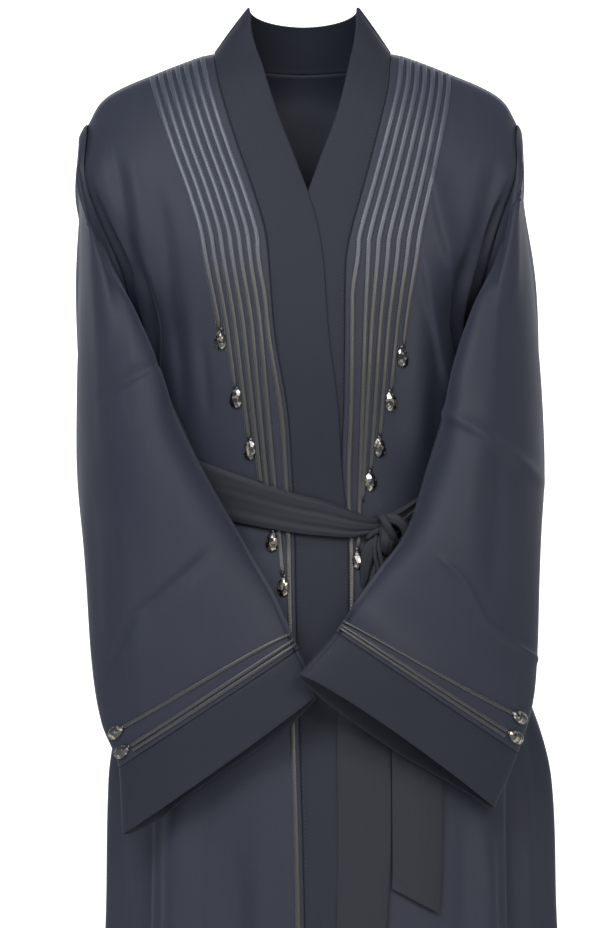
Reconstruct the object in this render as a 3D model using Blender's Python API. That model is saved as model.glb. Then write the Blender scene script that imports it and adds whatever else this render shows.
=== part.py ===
"""Kimono abaya: a long open-fronted robe with a crossed band, wide sleeves and a tied sash.

The origin is the middle of the neck at the height of the side neck points, where the robe is
held, +Z up and the front towards -Y.  "right" and "left" are the wearer's.  Sizes here are in
millimetres and the meshes are made in metres.
"""
from collections import namedtuple
from math import acos, ceil, cos, pi, radians, sin, sqrt

import bmesh
import bpy
from mathutils import Vector

MM = 0.001
CLOTH = 1.4            # wall of the crepe
BAND = 2.0             # wall of the doubled bands and the sash
SEAM = 0.4             # gap between two pieces at a seam
ROBE_LENGTH = 1420     # side neck point to hem
ROUNDNESS = 2.4        # exponent of the body's oval section
SHOULDER_RADIUS = 75   # how far down the shoulder rounds over
NECK_HALF = 87         # side neck point from the middle
ARMHOLE_TOP = -69
ARMHOLE_BOTTOM = -270
ARMHOLE_HALF_DEPTH = 55
OVERLAP_LIFT = 2.6     # the right front lies this far above the left front
NECK_STAND = 46        # height that the band stands behind the neck
NECK_DIP = 15          # back neckline below the side neck points
NECK_SPANS = 12        # strips of cloth across the back of the neck
CORD_WIDTH = 3.0
CORD_HEIGHT = 1.6
CORD_FOOT = 0.8        # a cord's back over the true curve of the cloth
CORD_COUNT = 7
LAST_CORD_OFF_SEAM = 7   # the cord that runs to the hem, from its band's seam
LAST_CORD_OFF_EDGE = 3   # and from the other band's edge over it
FRONT, BACK = -1, 1

CREPE = (0.045, 0.052, 0.068, 1)
BAND_CREPE = (0.038, 0.043, 0.055, 1)
SATIN = (0.13, 0.13, 0.155, 1)
STONE = (0.05, 0.052, 0.065, 1)

# The worn body, a row for each level: half width, depth in front and behind, and its middle.
Level = namedtuple("Level", "height half_width front behind middle")
BODY = [
    Level(60, 209, 56, 88, -3),
    Level(0, 209, 60, 88, -3),
    Level(-69, 209, 68, 86, -3),
    Level(-120, 208, 82, 84, -5),
    Level(-160, 195, 94, 93, -5),
    Level(-219, 174, 105, 98, -1),
    Level(-270, 160, 110, 100, 0),
    Level(-310, 167, 111, 100, 1),
    Level(-360, 164, 107, 98, 3),
    Level(-430, 149, 100, 95, 8),
    Level(-475, 149, 102, 97, 11),
    Level(-560, 172, 116, 112, 16),
    Level(-640, 200, 129, 125, 21),
    Level(-720, 209, 139, 134, 24),
    Level(-850, 212, 147, 140, 25),
    Level(-1150, 230, 157, 148, 30),
    Level(-ROBE_LENGTH, 250, 166, 156, 32),
]

# The shoulder line: height at a distance from the middle of the neck.
Ridge = namedtuple("Ridge", "distance height")
SHOULDER = [
    Ridge(0, 30), Ridge(87, 0), Ridge(100, -3), Ridge(147, -21), Ridge(181, -36),
    Ridge(198, -49), Ridge(209, -69), Ridge(230, -110),
]

# Seam and free edge of each front band, side neck point to hem.
BandRow = namedtuple("BandRow", "seam_x seam_z edge_x edge_z")
BAND_RIGHT = [
    BandRow(-89, 0, -55, 46), BandRow(-88, -10, -52, 20), BandRow(-82, -38, -42, -12),
    BandRow(-65, -93, -26, -62), BandRow(-49, -139, -7, -112), BandRow(-38, -177, 10, -160),
    BandRow(-35, -201, 17, -198), BandRow(-29, -275, 23, -275), BandRow(-17, -348, 32, -348),
    BandRow(-13, -400, 35, -400), BandRow(-10, -470, 41, -470), BandRow(-8, -568, 42, -568),
    BandRow(-1, -818, 48, -818), BandRow(8, -ROBE_LENGTH, 58, -ROBE_LENGTH),
]
BAND_LEFT = [
    BandRow(84, 0, 51, 46), BandRow(83, -10, 49, 20), BandRow(80, -38, 42, -14),
    BandRow(68, -88, 30, -62), BandRow(56, -133, 13, -108), BandRow(44, -177, -4, -158),
    BandRow(39, -206, -11, -200), BandRow(38, -275, -12, -275), BandRow(37, -348, -13, -348),
    BandRow(35, -400, -15, -400), BandRow(35, -470, -15, -470), BandRow(36, -568, -14, -568),
    BandRow(40, -818, -10, -818), BandRow(46, -ROBE_LENGTH, -4, -ROBE_LENGTH),
]

# Sleeves, a row for each ring from armhole to cuff: the overarm fold, the underarm edge, and
# half the depth from front layer to back layer.
Ring = namedtuple("Ring", "over_x over_y over_z under_x under_y under_z half_depth")
SLEEVE_RIGHT = [
    Ring(-212, 0, -69, -158, 0, -270, 55), Ring(-219, 0, -80, -168, -8, -284, 58),
    Ring(-222, -2, -100, -170, -26, -302, 64), Ring(-220, -8, -150, -159, -54, -318, 72),
    Ring(-221, -20, -230, -142, -84, -335, 76), Ring(-222, -36, -330, -122, -102, -358, 76),
    Ring(-219, -56, -410, -103, -115, -396, 69), Ring(-213, -80, -500, -78, -129, -441, 56),
    Ring(-205, -102, -585, -52, -142, -486, 42), Ring(-195, -113, -646, -29, -152, -525, 32),
    Ring(-178, -122, -690, -6, -163, -576, 23), Ring(-175, -125, -744, 14, -164, -616, 20),
]
SLEEVE_LEFT = [
    Ring(206, 0, -69, 157, 0, -270, 55), Ring(211, 0, -80, 167, -8, -284, 58),
    Ring(212, -2, -100, 170, -26, -302, 64), Ring(213, -8, -150, 161, -54, -318, 72),
    Ring(223, -20, -230, 146, -85, -336, 76), Ring(230, -36, -330, 131, -104, -362, 76),
    Ring(230, -56, -410, 116, -121, -404, 69), Ring(226, -82, -500, 97, -142, -464, 56),
    Ring(222, -102, -585, 71, -154, -500, 42), Ring(217, -113, -632, 48, -164, -531, 32),
    Ring(203, -122, -676, 29, -188, -558, 23), Ring(182, -127, -722, -6, -200, -599, 20),
]
PlacedRing = namedtuple("PlacedRing", ("place",) + Ring._fields)
CUFF_SEAM_RING = 10
SLEEVE_COLUMNS = 24    # points round a sleeve; the panels have half as many up the armhole
SLEEVE_CLEARANCE = 6   # between a sleeve and the body it lies on
SKIRT_FOLDS = 5        # how far the skirt's folds reach towards the sleeves
LAYERS_APART = 20      # between the layers of a sleeve where the body presses them
BACK_LAYER_SWELL = 22  # how far the back layer swings out below the armhole
BACK_LAYER_DROP = 13   # how much lower the back layer of a cuff hangs

# Cords above the cuff band: distance from the cuff seam at the underarm and overarm ends.
CuffCord = namedtuple("CuffCord", "under over stone")
CUFF_CORDS = [CuffCord(15, 30, True), CuffCord(9.5, 11, True), CuffCord(5, 6, False)]
CUFF_RING_PITCH_UNDER, CUFF_RING_PITCH_OVER = 53, 47

# The sash, by angle round the body from the wearer's left side: front is 90, back is 270.
SashRow = namedtuple("SashRow", "angle top bottom")
SASH = [
    SashRow(0, -398, -438), SashRow(35, -418, -440), SashRow(52, -430, -447),
    SashRow(63, -444, -468), SashRow(72, -452, -467), SashRow(81, -443, -471),
    SashRow(92, -430, -468), SashRow(134, -391, -447), SashRow(180, -372, -430),
    SashRow(270, -370, -428), SashRow(360, -398, -438),
]
SASH_OUT = 8.8         # outer face of the sash over the cords in front
SASH_OUT_BEHIND = 4.2
KNOT_X, KNOT_Z = 84, -467

TailRow = namedtuple("TailRow", "height middle width")
TAIL_LONG = [
    TailRow(-476, 76, 13), TailRow(-520, 69, 22), TailRow(-570, 61, 38), TailRow(-626, 56, 49),
    TailRow(-760, 56, 50), TailRow(-845, 53, 47), TailRow(-985, 50, 46),
]
TAIL_SHORT = [
    TailRow(-476, 91, 12), TailRow(-540, 97, 27), TailRow(-620, 102, 42), TailRow(-700, 106, 48),
    TailRow(-800, 105, 45), TailRow(-816, 104, 44),
]

# Soft folds, by angle round the body; positive angles are in front, 180 to 360 behind.
Fold = namedtuple("Fold", "angle spread depth top bottom")
FOLDS = [
    Fold(168, 9, -5, -110, -380), Fold(152, 8, -4, -150, -400), Fold(12, 9, -5, -110, -380),
    Fold(29, 8, -4, -150, -400), Fold(215, 12, -5, -90, -400), Fold(325, 12, -5, -90, -400),
    Fold(168, 11, 5, -600, -1500), Fold(148, 9, -5, -640, -1500), Fold(129, 10, 6, -660, -1500),
    Fold(112, 8, -5, -720, -1500), Fold(50, 8, 5, -700, -1500), Fold(33, 9, -6, -640, -1500),
    Fold(13, 11, 5, -600, -1500), Fold(348, 11, -6, -620, -1500), Fold(326, 12, 8, -560, -1500),
    Fold(303, 11, -7, -640, -1500), Fold(281, 12, 7, -580, -1500), Fold(258, 11, -7, -640, -1500),
    Fold(236, 12, 8, -570, -1500), Fold(213, 11, -6, -620, -1500), Fold(193, 10, 5, -600, -1500),
]

# Where each chest cord ends in its stone, from the outermost cord; the last runs to the hem.
CordEnd = namedtuple("CordEnd", "x z stone_shows")
CORD_ENDS_RIGHT = [
    CordEnd(-84, -281, True), CordEnd(-69.5, -337, True), CordEnd(-56.5, -386, True),
    CordEnd(-44.5, -432, False), CordEnd(-36.5, -475, True), CordEnd(-25, -518, True),
]
CORD_ENDS_LEFT = [
    CordEnd(96, -298, True), CordEnd(85, -340, True), CordEnd(74.5, -384, True),
    CordEnd(65.5, -417, True), CordEnd(57, -446, False), CordEnd(51.5, -492, True),
]
STONE_LENGTH, STONE_WIDTH, STONE_HEIGHT = 18, 10, 3.2
STONE_FOOT = 0.5       # a flat stone's back over the curved cloth
CUFF_STONE_FOOT = 0.9


def smooth(start, end, at):
    """0 before start, 1 after end, with a soft change between."""
    share = min(max((at - start) / (end - start), 0), 1)
    return share * share * (3 - 2 * share)


def read(rows, key, column, at):
    """A column's value where the key column is at, on a smooth curve through the rows."""
    keys = [getattr(row, key) for row in rows]
    values = [getattr(row, column) for row in rows]
    if keys[0] > keys[-1]:
        keys = [-value for value in keys]
        at = -at
    at = min(max(at, keys[0]), keys[-1])
    last = len(rows) - 1
    left = max(index for index in range(last) if keys[index] <= at)
    span = keys[left + 1] - keys[left]
    share = (at - keys[left]) / span

    def slope(index):
        low, high = max(index - 1, 0), min(index + 1, last)
        return (values[high] - values[low]) / (keys[high] - keys[low]) * span

    rise = values[left + 1] - values[left]
    start, end = slope(left), slope(left + 1)
    bend = (start - rise) * (1 - share) - (end - rise) * share
    return values[left] + rise * share + share * (1 - share) * bend


def body(column, height):
    return read(BODY, "height", column, height)


def shoulder_height(x):
    return read(SHOULDER, "distance", "height", abs(x + 2.5))


def armhole_half_depth(height):
    middle = (ARMHOLE_TOP + ARMHOLE_BOTTOM) / 2
    half = (ARMHOLE_TOP - ARMHOLE_BOTTOM) / 2
    return ARMHOLE_HALF_DEPTH * sqrt(max(0, 1 - ((height - middle) / half) ** 2))


def eased_half_depth(height):
    """The same with its ends eased, for the cloth that lies away from the armhole."""
    return sum(armhole_half_depth(height + step) for step in (-30, -20, -10, 0, 10, 20, 30)) / 7


def fold_depth(angle, height, face):
    """How far the folds push the cloth out, at an angle in 0..pi on the front or the back."""
    degrees = angle * 180 / pi
    around = degrees if face == FRONT else 360 - degrees
    total = 0
    for fold in FOLDS:
        away = (around - fold.angle + 180) % 360 - 180
        fade = smooth(0, 110, fold.top - height) * smooth(0, 60, height - fold.bottom)
        total += fold.depth * fade * max(0, cos(min(abs(away) / fold.spread, 1) * pi / 2)) ** 2
    return total


def body_surface(angle, height, face):
    """The robe's outer surface: angle 0 is the wearer's left side, pi the right side."""
    across = cos(angle)
    half = body("half_width", height)
    bulge = max(0, sin(angle)) ** (2 / ROUNDNESS)
    away = smooth(0, 0.45, bulge)
    edge = armhole_half_depth(height) * (1 - away) + eased_half_depth(height) * away
    full = body("front" if face == FRONT else "behind", height)
    x = half * abs(across) ** (2 / ROUNDNESS) * (1 if across > 0 else -1)
    y = edge + (full - edge) * bulge
    swell = 1 + fold_depth(angle, height, face) / 100
    below = max(0, shoulder_height(x + body("middle", height)) - height)
    rounding = min(below / SHOULDER_RADIUS, 1)
    y *= sqrt(1 - (1 - rounding) ** 2)
    return Vector((x * swell + body("middle", height), face * (SEAM / 2 + y * swell), height))


def body_angle(x, height):
    """The angle at which the section of this height has this x."""
    share = (x - body("middle", height)) / body("half_width", height)
    share = min(max(share, -1), 1)
    return acos(abs(share) ** (ROUNDNESS / 2) * (1 if share > 0 else -1))


def body_normal(angle, height, face):
    step_angle, step_height = 0.02, 2.0
    low, high = max(angle - step_angle, 0), min(angle + step_angle, pi)
    along = body_surface(high, height, face) - body_surface(low, height, face)
    up = body_surface(angle, height + step_height, face)
    up = up - body_surface(angle, height - step_height, face)
    normal = along.cross(up) * face
    return normal.normalized()


def on_body(angle, height, face, out):
    return body_surface(angle, height, face) + body_normal(angle, height, face) * out


def overlap_lift(x, height):
    """How far the right front stands off so that it clears the left front under it."""
    return OVERLAP_LIFT * smooth(-170, -75, x) * smooth(20, 100, -height)


def on_front(x, height, out, lifted):
    """A point over the front panels at x, moved out from the cloth."""
    lift = overlap_lift(x, height) if lifted else 0
    return on_body(body_angle(x, height), height, FRONT, out + lift)


def finish_mesh(name, shape, colour, roughness):
    """Close, orient and link a mesh, in metres."""
    bmesh.ops.recalc_face_normals(shape, faces=shape.faces)
    bmesh.ops.scale(shape, vec=(MM, MM, MM), verts=shape.verts)
    mesh = bpy.data.meshes.new(name)
    shape.to_mesh(mesh)
    shape.free()
    material = bpy.data.materials.get("material_" + name) or bpy.data.materials.new("material_" + name)
    material.use_nodes = True
    shader = material.node_tree.nodes["Principled BSDF"]
    shader.inputs["Base Color"].default_value = colour
    shader.inputs["Roughness"].default_value = roughness
    mesh.materials.append(material)
    mesh.shade_smooth()
    mesh.set_sharp_from_angle(angle=radians(35))
    piece = bpy.data.objects.new(name, mesh)
    bpy.context.collection.objects.link(piece)
    piece.parent = robe
    return piece


def grid_normals(grid, ring):
    """Unit normals of a grid of points, which turn the way rows x columns does."""
    rows, columns = len(grid), len(grid[0])
    normals = []
    for row in range(rows):
        line = []
        for column in range(columns):
            if ring:
                before, after = grid[row][column - 1], grid[row][(column + 1) % columns]
            else:
                before, after = grid[row][max(column - 1, 0)], grid[row][min(column + 1, columns - 1)]
            below, above = grid[max(row - 1, 0)][column], grid[min(row + 1, rows - 1)][column]
            line.append((after - before).cross(above - below).normalized())
        normals.append(line)
    return normals


def wall(name, grid, thickness, colour, ring=False, outward=None, fix=None, roughness=0.8):
    """A cloth wall whose outer skin is the grid; ring joins the last column to the first.

    outward gives a direction that the middle point's normal must follow, and fix moves an inner
    point that would pass a seam.
    """
    rows, columns = len(grid), len(grid[0])
    normals = grid_normals(grid, ring)
    if normals[rows // 2][columns // 2].dot(outward) < 0:
        normals = [[-normal for normal in line] for line in normals]
    shape = bmesh.new()
    skins = []
    for depth in (0, thickness):
        skin = []
        for row in range(rows):
            line = []
            for column in range(columns):
                point = grid[row][column] - normals[row][column] * depth
                if depth and fix:
                    point = fix(point, row, grid[row][column])
                line.append(shape.verts.new(point))
            skin.append(line)
        skins.append(skin)
    outer, inner = skins
    spans = columns if ring else columns - 1
    for row in range(rows - 1):
        for column in range(spans):
            after = (column + 1) % columns
            for skin in skins:
                quad = (skin[row][column], skin[row][after], skin[row + 1][after], skin[row + 1][column])
                shape.faces.new(quad if skin is outer else quad[::-1])
    for row in (0, rows - 1):
        for column in range(spans):
            after = (column + 1) % columns
            quad = (outer[row][column], inner[row][column], inner[row][after], outer[row][after])
            shape.faces.new(quad if row == 0 else quad[::-1])
    if not ring:
        for column in (0, columns - 1):
            for row in range(rows - 1):
                quad = (outer[row][column], outer[row + 1][column],
                        inner[row + 1][column], inner[row][column])
                shape.faces.new(quad if column == 0 else quad[::-1])
    return finish_mesh(name, shape, colour, roughness)


def solid_rings(name, rings, colour, roughness=0.4):
    """A solid through closed rings of points, capped at both ends."""
    shape = bmesh.new()
    lines = [[shape.verts.new(point) for point in ring] for ring in rings]
    count = len(lines[0])
    for low, high in zip(lines, lines[1:]):
        for index in range(count):
            after = (index + 1) % count
            shape.faces.new((low[index], low[after], high[after], high[index]))
    shape.faces.new(lines[0])
    shape.faces.new(lines[-1])
    return finish_mesh(name, shape, colour, roughness)


def strip_cord(name, route):
    """A raised satin cord along a route of (point, normal) pairs on the cloth."""
    rings = []
    last = len(route) - 1
    for index, (point, normal) in enumerate(route):
        ahead = route[min(index + 1, last)][0] - route[max(index - 1, 0)][0]
        side = ahead.cross(normal).normalized() * (CORD_WIDTH / 2)
        foot = point + normal * CORD_FOOT
        top = foot + normal * CORD_HEIGHT
        rings.append([foot - side, foot + side, top + side * 0.55, top - side * 0.55])
    return solid_rings(name, rings, SATIN, 0.45)


def spread(start, end, count):
    return [start + (end - start) * index / (count - 1) for index in range(count)]


def panel_heights(top):
    """Heights from hem to the top of a column, closer together at the armhole and shoulder."""
    shares = spread(0, 1, 10)[:-1]
    lower = [-ROBE_LENGTH + (ROBE_LENGTH - 560) * share for share in shares]
    middle = spread(-560, ARMHOLE_BOTTOM, 9)[:-1]
    upper = [ARMHOLE_BOTTOM + (top - ARMHOLE_BOTTOM) * (1 - cos(pi * share)) / 2
             for share in spread(0, 1, SLEEVE_COLUMNS // 2 + 1)]
    return lower + middle + upper


def panel(name, angle_at, face, columns, top_at, lifted=False):
    """A front or the back: angle_at(share, height) runs from one long edge to the other."""
    grid = []
    tops = [top_at(share) for share in spread(0, 1, columns)]
    for row in range(len(panel_heights(0))):
        line = []
        for column, share in enumerate(spread(0, 1, columns)):
            height = panel_heights(tops[column])[row]
            angle = angle_at(share, height)
            point = body_surface(angle, height, face)
            if lifted:
                lift = overlap_lift(point.x, height)
                point = point + body_normal(angle, height, face) * lift
            point.y = face * max(face * point.y, SEAM / 2)
            line.append(point)
        grid.append(line)

    def keep_side(point, _row, _outer):
        point.y = face * max(face * point.y, SEAM / 2)
        return point

    return wall(name, grid, CLOTH, CREPE, outward=Vector((0, face, 0)), fix=keep_side)


def seam_x(rows, height):
    return read(rows, "seam_z", "seam_x", height)


def shoulder_top(angle_at, share):
    """The height at which a column meets the shoulder line."""
    height = -30.0
    for _ in range(12):
        x = body_surface(angle_at(share, height), height, FRONT).x
        height = (height + shoulder_height(x)) / 2
    return max(height, ARMHOLE_TOP)


def make_fronts():
    def right_angle(share, height):
        seam = body_angle(seam_x(BAND_RIGHT, height) - SEAM, height)
        return seam + (pi - seam) * share

    def left_angle(share, height):
        seam = body_angle(seam_x(BAND_LEFT, height) + SEAM, height)
        return seam * (1 - share)

    panel("front_right", right_angle, FRONT, 11, lambda share: shoulder_top(right_angle, share), True)
    panel("front_left", left_angle, FRONT, 11, lambda share: shoulder_top(left_angle, share))


def neckline(turn):
    """The back neckline, from the wearer's left side neck point (0) to the right one (pi)."""
    return NECK_HALF * cos(turn) - 2.5, -NECK_DIP * sin(turn)


def make_back():
    side_spans = 7
    spans = 2 * side_spans + NECK_SPANS
    side_share = side_spans / spans

    def turn_at(share):
        return pi * min(max((share - side_share) / (1 - 2 * side_share), 0), 1)

    def angle_at(share, height):
        neck = body_angle(neckline(turn_at(share))[0], height)
        if share < side_share:
            return neck * share / side_share
        if share > 1 - side_share:
            return pi - (pi - neck) * (1 - share) / side_share
        return neck

    def top_at(share):
        if side_share < share < 1 - side_share:
            return neckline(turn_at(share))[1]
        return shoulder_top(angle_at, share)

    panel("back", angle_at, BACK, spans + 1, top_at)


def band_grid(rows, lifted):
    """Points of a front band, seam to free edge, from the side neck point to the hem."""
    grid = []
    for height in reversed(panel_heights(0)):
        seam = Vector((seam_x(rows, height), height))
        edge = Vector((read(rows, "seam_z", "edge_x", height), read(rows, "seam_z", "edge_z", height)))
        seam_y = body_surface(body_angle(seam.x, height), height, FRONT).y
        grid.append([on_band(*seam.lerp(edge, share), seam_y * (1 - 0.25 * share), lifted)
                     for share in (0, 0.33, 0.67, 1)])
    return grid


def on_band(x, height, stand_y, lifted):
    """A band point: on the body's front, or standing up round the neck above it."""
    point = body_surface(body_angle(x, height), height, FRONT)
    point.y = min(point.y, stand_y)
    if height < -40:
        lift = overlap_lift(x, height) if lifted else 0
        point = point + body_normal(body_angle(x, height), height, FRONT) * lift
    return point


def keep_neck_seam(point, _row, outer):
    """Keep a band's rim at the side neck points in the plane of the seam."""
    if abs(outer.y) > SEAM / 2 + 0.01 or outer.z < -SEAM:
        return point
    inward = point - outer
    inward.y = 0
    return outer + inward.normalized() * BAND


def make_bands():
    for name, rows, lifted in (
            ("front_band_right", BAND_RIGHT, True), ("front_band_left", BAND_LEFT, False)):
        wall(name, band_grid(rows, lifted), BAND, BAND_CREPE, outward=Vector((0, -1, 0)), fix=keep_neck_seam)
    grid = []
    for turn in spread(0, pi, NECK_SPANS + 1):
        x, height = neckline(turn)
        seam = body_surface(body_angle(x, height), height, BACK)
        seam.y = max(seam.y, SEAM / 2)
        seam.z += SEAM
        top = Vector((seam.x * 0.62, seam.y * 0.8, seam.z + NECK_STAND))
        top.y = max(top.y, SEAM / 2)
        grid.append([seam.lerp(top, share) for share in (0, 0.33, 0.67, 1)])
    wall("neck_band", grid, BAND, BAND_CREPE, outward=Vector((0, 1, 0)), fix=keep_neck_seam)


def sleeve_point(rows, place, turn):
    """A point of a sleeve: place runs down its rings, turn 0 is underarm, pi overarm."""
    numbered = [PlacedRing(index, *row) for index, row in enumerate(rows)]
    at = {column: read(numbered, "place", column, place) for column in Ring._fields}
    over = Vector((at["over_x"], at["over_y"], at["over_z"]))
    under = Vector((at["under_x"], at["under_y"], at["under_z"]))
    middle = (over + under) / 2
    point = middle + (under - over) / 2 * cos(turn)
    point.y -= at["half_depth"] * sin(turn)
    if place > CUFF_SEAM_RING - 2:
        point.z += BACK_LAYER_DROP * min(0, sin(turn)) * smooth(CUFF_SEAM_RING - 2, len(rows) - 1, place)
    armhole = armhole_point(1 if over.x > 0 else -1, turn)
    first = rows[0]
    chord = (first.over_x + first.under_x) / 2 + (first.under_x - first.over_x) / 2 * cos(turn)
    point.x += (armhole.x - chord) * (1 - smooth(0, 4.5, place))
    behind = max(0, -sin(turn)) * sin(pi * min(place / 6, 1))
    point.x += BACK_LAYER_SWELL * behind * (1 if over.x > 0 else -1)
    return armhole.lerp(clear_of_body(point, turn), min(place, 1))


def armhole_point(side, turn):
    """A point of the armhole seam, on the sleeve's side of the gap."""
    middle = (ARMHOLE_TOP + ARMHOLE_BOTTOM) / 2
    height = middle - (ARMHOLE_TOP - ARMHOLE_BOTTOM) / 2 * cos(turn)
    x = side * (body("half_width", height) + 2 * SEAM) + body("middle", height)
    return Vector((x, -ARMHOLE_HALF_DEPTH * sin(turn), height))


def clear_of_body(point, turn):
    """Push a sleeve point out from the body, so that the sleeve lies on it, its layers apart."""
    at_sash = smooth(-345, -375, point.z) * smooth(-500, -475, point.z)
    over_folds = smooth(-560, -640, point.z)
    clearance = SLEEVE_CLEARANCE + (SASH_OUT - 2) * at_sash + SKIRT_FOLDS * over_folds
    apart = LAYERS_APART * max(0, sin(turn))
    half = body("half_width", point.z) + clearance
    depth = body("front" if point.y < 0 else "behind", point.z) + clearance + apart
    aside = point.x - body("middle", point.z)
    nearness = (abs(aside / half) ** ROUNDNESS + abs(point.y / depth) ** ROUNDNESS) ** (1 / ROUNDNESS)
    if nearness < 1:
        point.x += aside / nearness - aside
        point.y /= nearness
    return point


def sleeve_grid(rows, places):
    return [[sleeve_point(rows, place, 2 * pi * column / SLEEVE_COLUMNS)
             for column in range(SLEEVE_COLUMNS)] for place in places]


def keep_armhole(point, row, outer):
    """Keep the wall's rim at the armhole in the plane of the seam."""
    if row > 0:
        return point
    inward = point - outer
    inward.x = 0
    return outer + inward.normalized() * CLOTH


def make_sleeves():
    for side, rows in (("right", SLEEVE_RIGHT), ("left", SLEEVE_LEFT)):
        places = [0, 1.2, 2.2] + spread(3.2, CUFF_SEAM_RING - 0.01, 13)
        grid = sleeve_grid(rows, places)
        wall("sleeve_" + side, grid, CLOTH, CREPE, True, outward=middle_outward(grid), fix=keep_armhole)
        grid = sleeve_grid(rows, [CUFF_SEAM_RING, 10.5, 11])
        wall("cuff_" + side, grid, BAND, BAND_CREPE, True, outward=middle_outward(grid))
        make_cuff_trim(side, rows)


def middle_outward(grid):
    """From the middle ring's centre to its middle point."""
    ring = grid[len(grid) // 2]
    centre = sum(ring, Vector()) / len(ring)
    return ring[len(ring) // 2] - centre


def make_cuff_trim(side, rows):
    for number, cord in enumerate(CUFF_CORDS, start=1):
        route = []
        for share in spread(0, 1, 12):
            turn = 0.30 + (2.52 - 0.30) * share
            back_up = (cord.under / CUFF_RING_PITCH_UNDER * (1 - share)
                       + cord.over / CUFF_RING_PITCH_OVER * share)
            place = CUFF_SEAM_RING - 0.02 - back_up
            route.append(sleeve_frame(rows, place, turn))
        strip_cord(f"cuff_cord_{side}_{number}", route)
        if cord.stone:
            place = CUFF_SEAM_RING - 0.02 - cord.over / CUFF_RING_PITCH_OVER
            point, normal = sleeve_frame(rows, place, 2.66 if number == 1 else 2.72)
            before = sleeve_frame(rows, place, 2.4)[0]
            along = (point - before).normalized()
            make_stone(f"cuff_stone_{side}_{number}", point, normal, along, CUFF_STONE_FOOT)


def sleeve_frame(rows, place, turn):
    """A point of the sleeve's front layer and its outward normal."""
    point = sleeve_point(rows, place, turn)
    around = sleeve_point(rows, place, turn + 0.03) - sleeve_point(rows, place, turn - 0.03)
    down = sleeve_point(rows, place + 0.1, turn) - sleeve_point(rows, place - 0.1, turn)
    normal = around.cross(down).normalized()
    if normal.y > 0:
        normal = -normal
    return point, normal


def make_stone(name, point, normal, along, foot=STONE_FOOT):
    """A pear-shaped cut stone lying on the cloth, its point towards the cord."""
    side = along.cross(normal).normalized()
    rings = []
    for lift, size in ((foot, 0.8), (foot + 1.2, 1.0), (foot + STONE_HEIGHT, 0.55)):
        ring = []
        for index in range(10):
            turn = 2 * pi * index / 10
            taper = 1 - 0.34 * (1 - cos(turn)) / 2 * abs(sin(turn)) - 0.22 * (1 - cos(turn)) / 2
            ring.append(point + normal * lift + along * (cos(turn) * STONE_LENGTH / 2 * size)
                        + side * (sin(turn) * STONE_WIDTH / 2 * size * taper))
        rings.append(ring)
    solid_rings(name, rings, STONE, 0.1)


def chest_frame(x, height, lifted):
    point = on_front(x, height, 0, lifted)
    return point, body_normal(body_angle(x, height), height, FRONT)


def make_cord(name, side, number, end, rows, lifted):
    """One chest cord, from the shoulder seam past its bend to its stone or the hem."""
    start_x = -149 + 8.2 * number if side < 0 else 138 - 7.4 * number
    bend_x = -98 + 8.7 * number if side < 0 else 109 - 9.6 * number
    bend_z = -185
    start_z = shoulder_height(start_x) - 2.5
    start_off = start_x - seam_x(rows, start_z)
    bend_off = bend_x - seam_x(rows, bend_z)
    route = []
    for share in spread(0, 1, 14):
        height = start_z + (bend_z - start_z) * share ** 1.4
        x = seam_x(rows, height) + start_off + (bend_off - start_off) * share
        route.append(chest_frame(x, height, lifted))
    if end:
        stop_z = end.z + STONE_LENGTH / 2 + 1.2
        count = max(3, ceil((bend_z - stop_z) / 22) + 1)
    else:
        stop_z = -ROBE_LENGTH + 1
        count = 40
    for height in spread(bend_z, stop_z, count)[1:]:
        if end:
            x = bend_x + (end.x - bend_x) * (height - bend_z) / (end.z - bend_z)
        else:
            x = seam_x(rows, height) + side * LAST_CORD_OFF_SEAM
            if side > 0:
                x = max(x, read(BAND_RIGHT, "seam_z", "edge_x", height) + LAST_CORD_OFF_EDGE)
            x = bend_x + (x - bend_x) * smooth(bend_z, bend_z - 60, height)
        route.append(chest_frame(x, height, lifted))
    strip_cord(name, route)


def make_chest_cords():
    for side_name, side, ends, rows, lifted in (
            ("right", -1, CORD_ENDS_RIGHT, BAND_RIGHT, True), ("left", 1, CORD_ENDS_LEFT, BAND_LEFT, False)):
        for number in range(CORD_COUNT):
            end = ends[number] if number < len(ends) else None
            make_cord(f"cord_{side_name}_{number + 1}", side, number, end, rows, lifted)
            if end and end.stone_shows:
                point, normal = chest_frame(end.x, end.z, lifted)
                above = chest_frame(end.x - side * 2, end.z + 20, lifted)[0]
                make_stone(f"stone_{side_name}_{number + 1}", point, normal, (point - above).normalized())


def sash_out(angle, face):
    """The sash lies over the cords in front and on the cloth behind."""
    over_cords = smooth(0, 0.5, sin(angle)) if face == FRONT else 0
    return SASH_OUT_BEHIND + (SASH_OUT - SASH_OUT_BEHIND) * over_cords


def make_sash():
    grid = []
    count = 44
    for share in (0, 0.33, 0.67, 1):
        line = []
        for index in range(count):
            degrees = 360 * index / count
            face = FRONT if degrees < 180 else BACK
            angle = radians(degrees if face == FRONT else 360 - degrees)
            top = read(SASH, "angle", "top", degrees)
            bottom = read(SASH, "angle", "bottom", degrees)
            height = bottom + (top - bottom) * share
            crown = 1.2 * sin(pi * share)
            line.append(on_body(angle, height, face, sash_out(angle, face) + crown))
        grid.append(line)
    ring = grid[1]
    centre = sum(ring, Vector()) / count
    wall("sash", grid, BAND, BAND_CREPE, True, outward=ring[count // 2] - centre)


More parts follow.
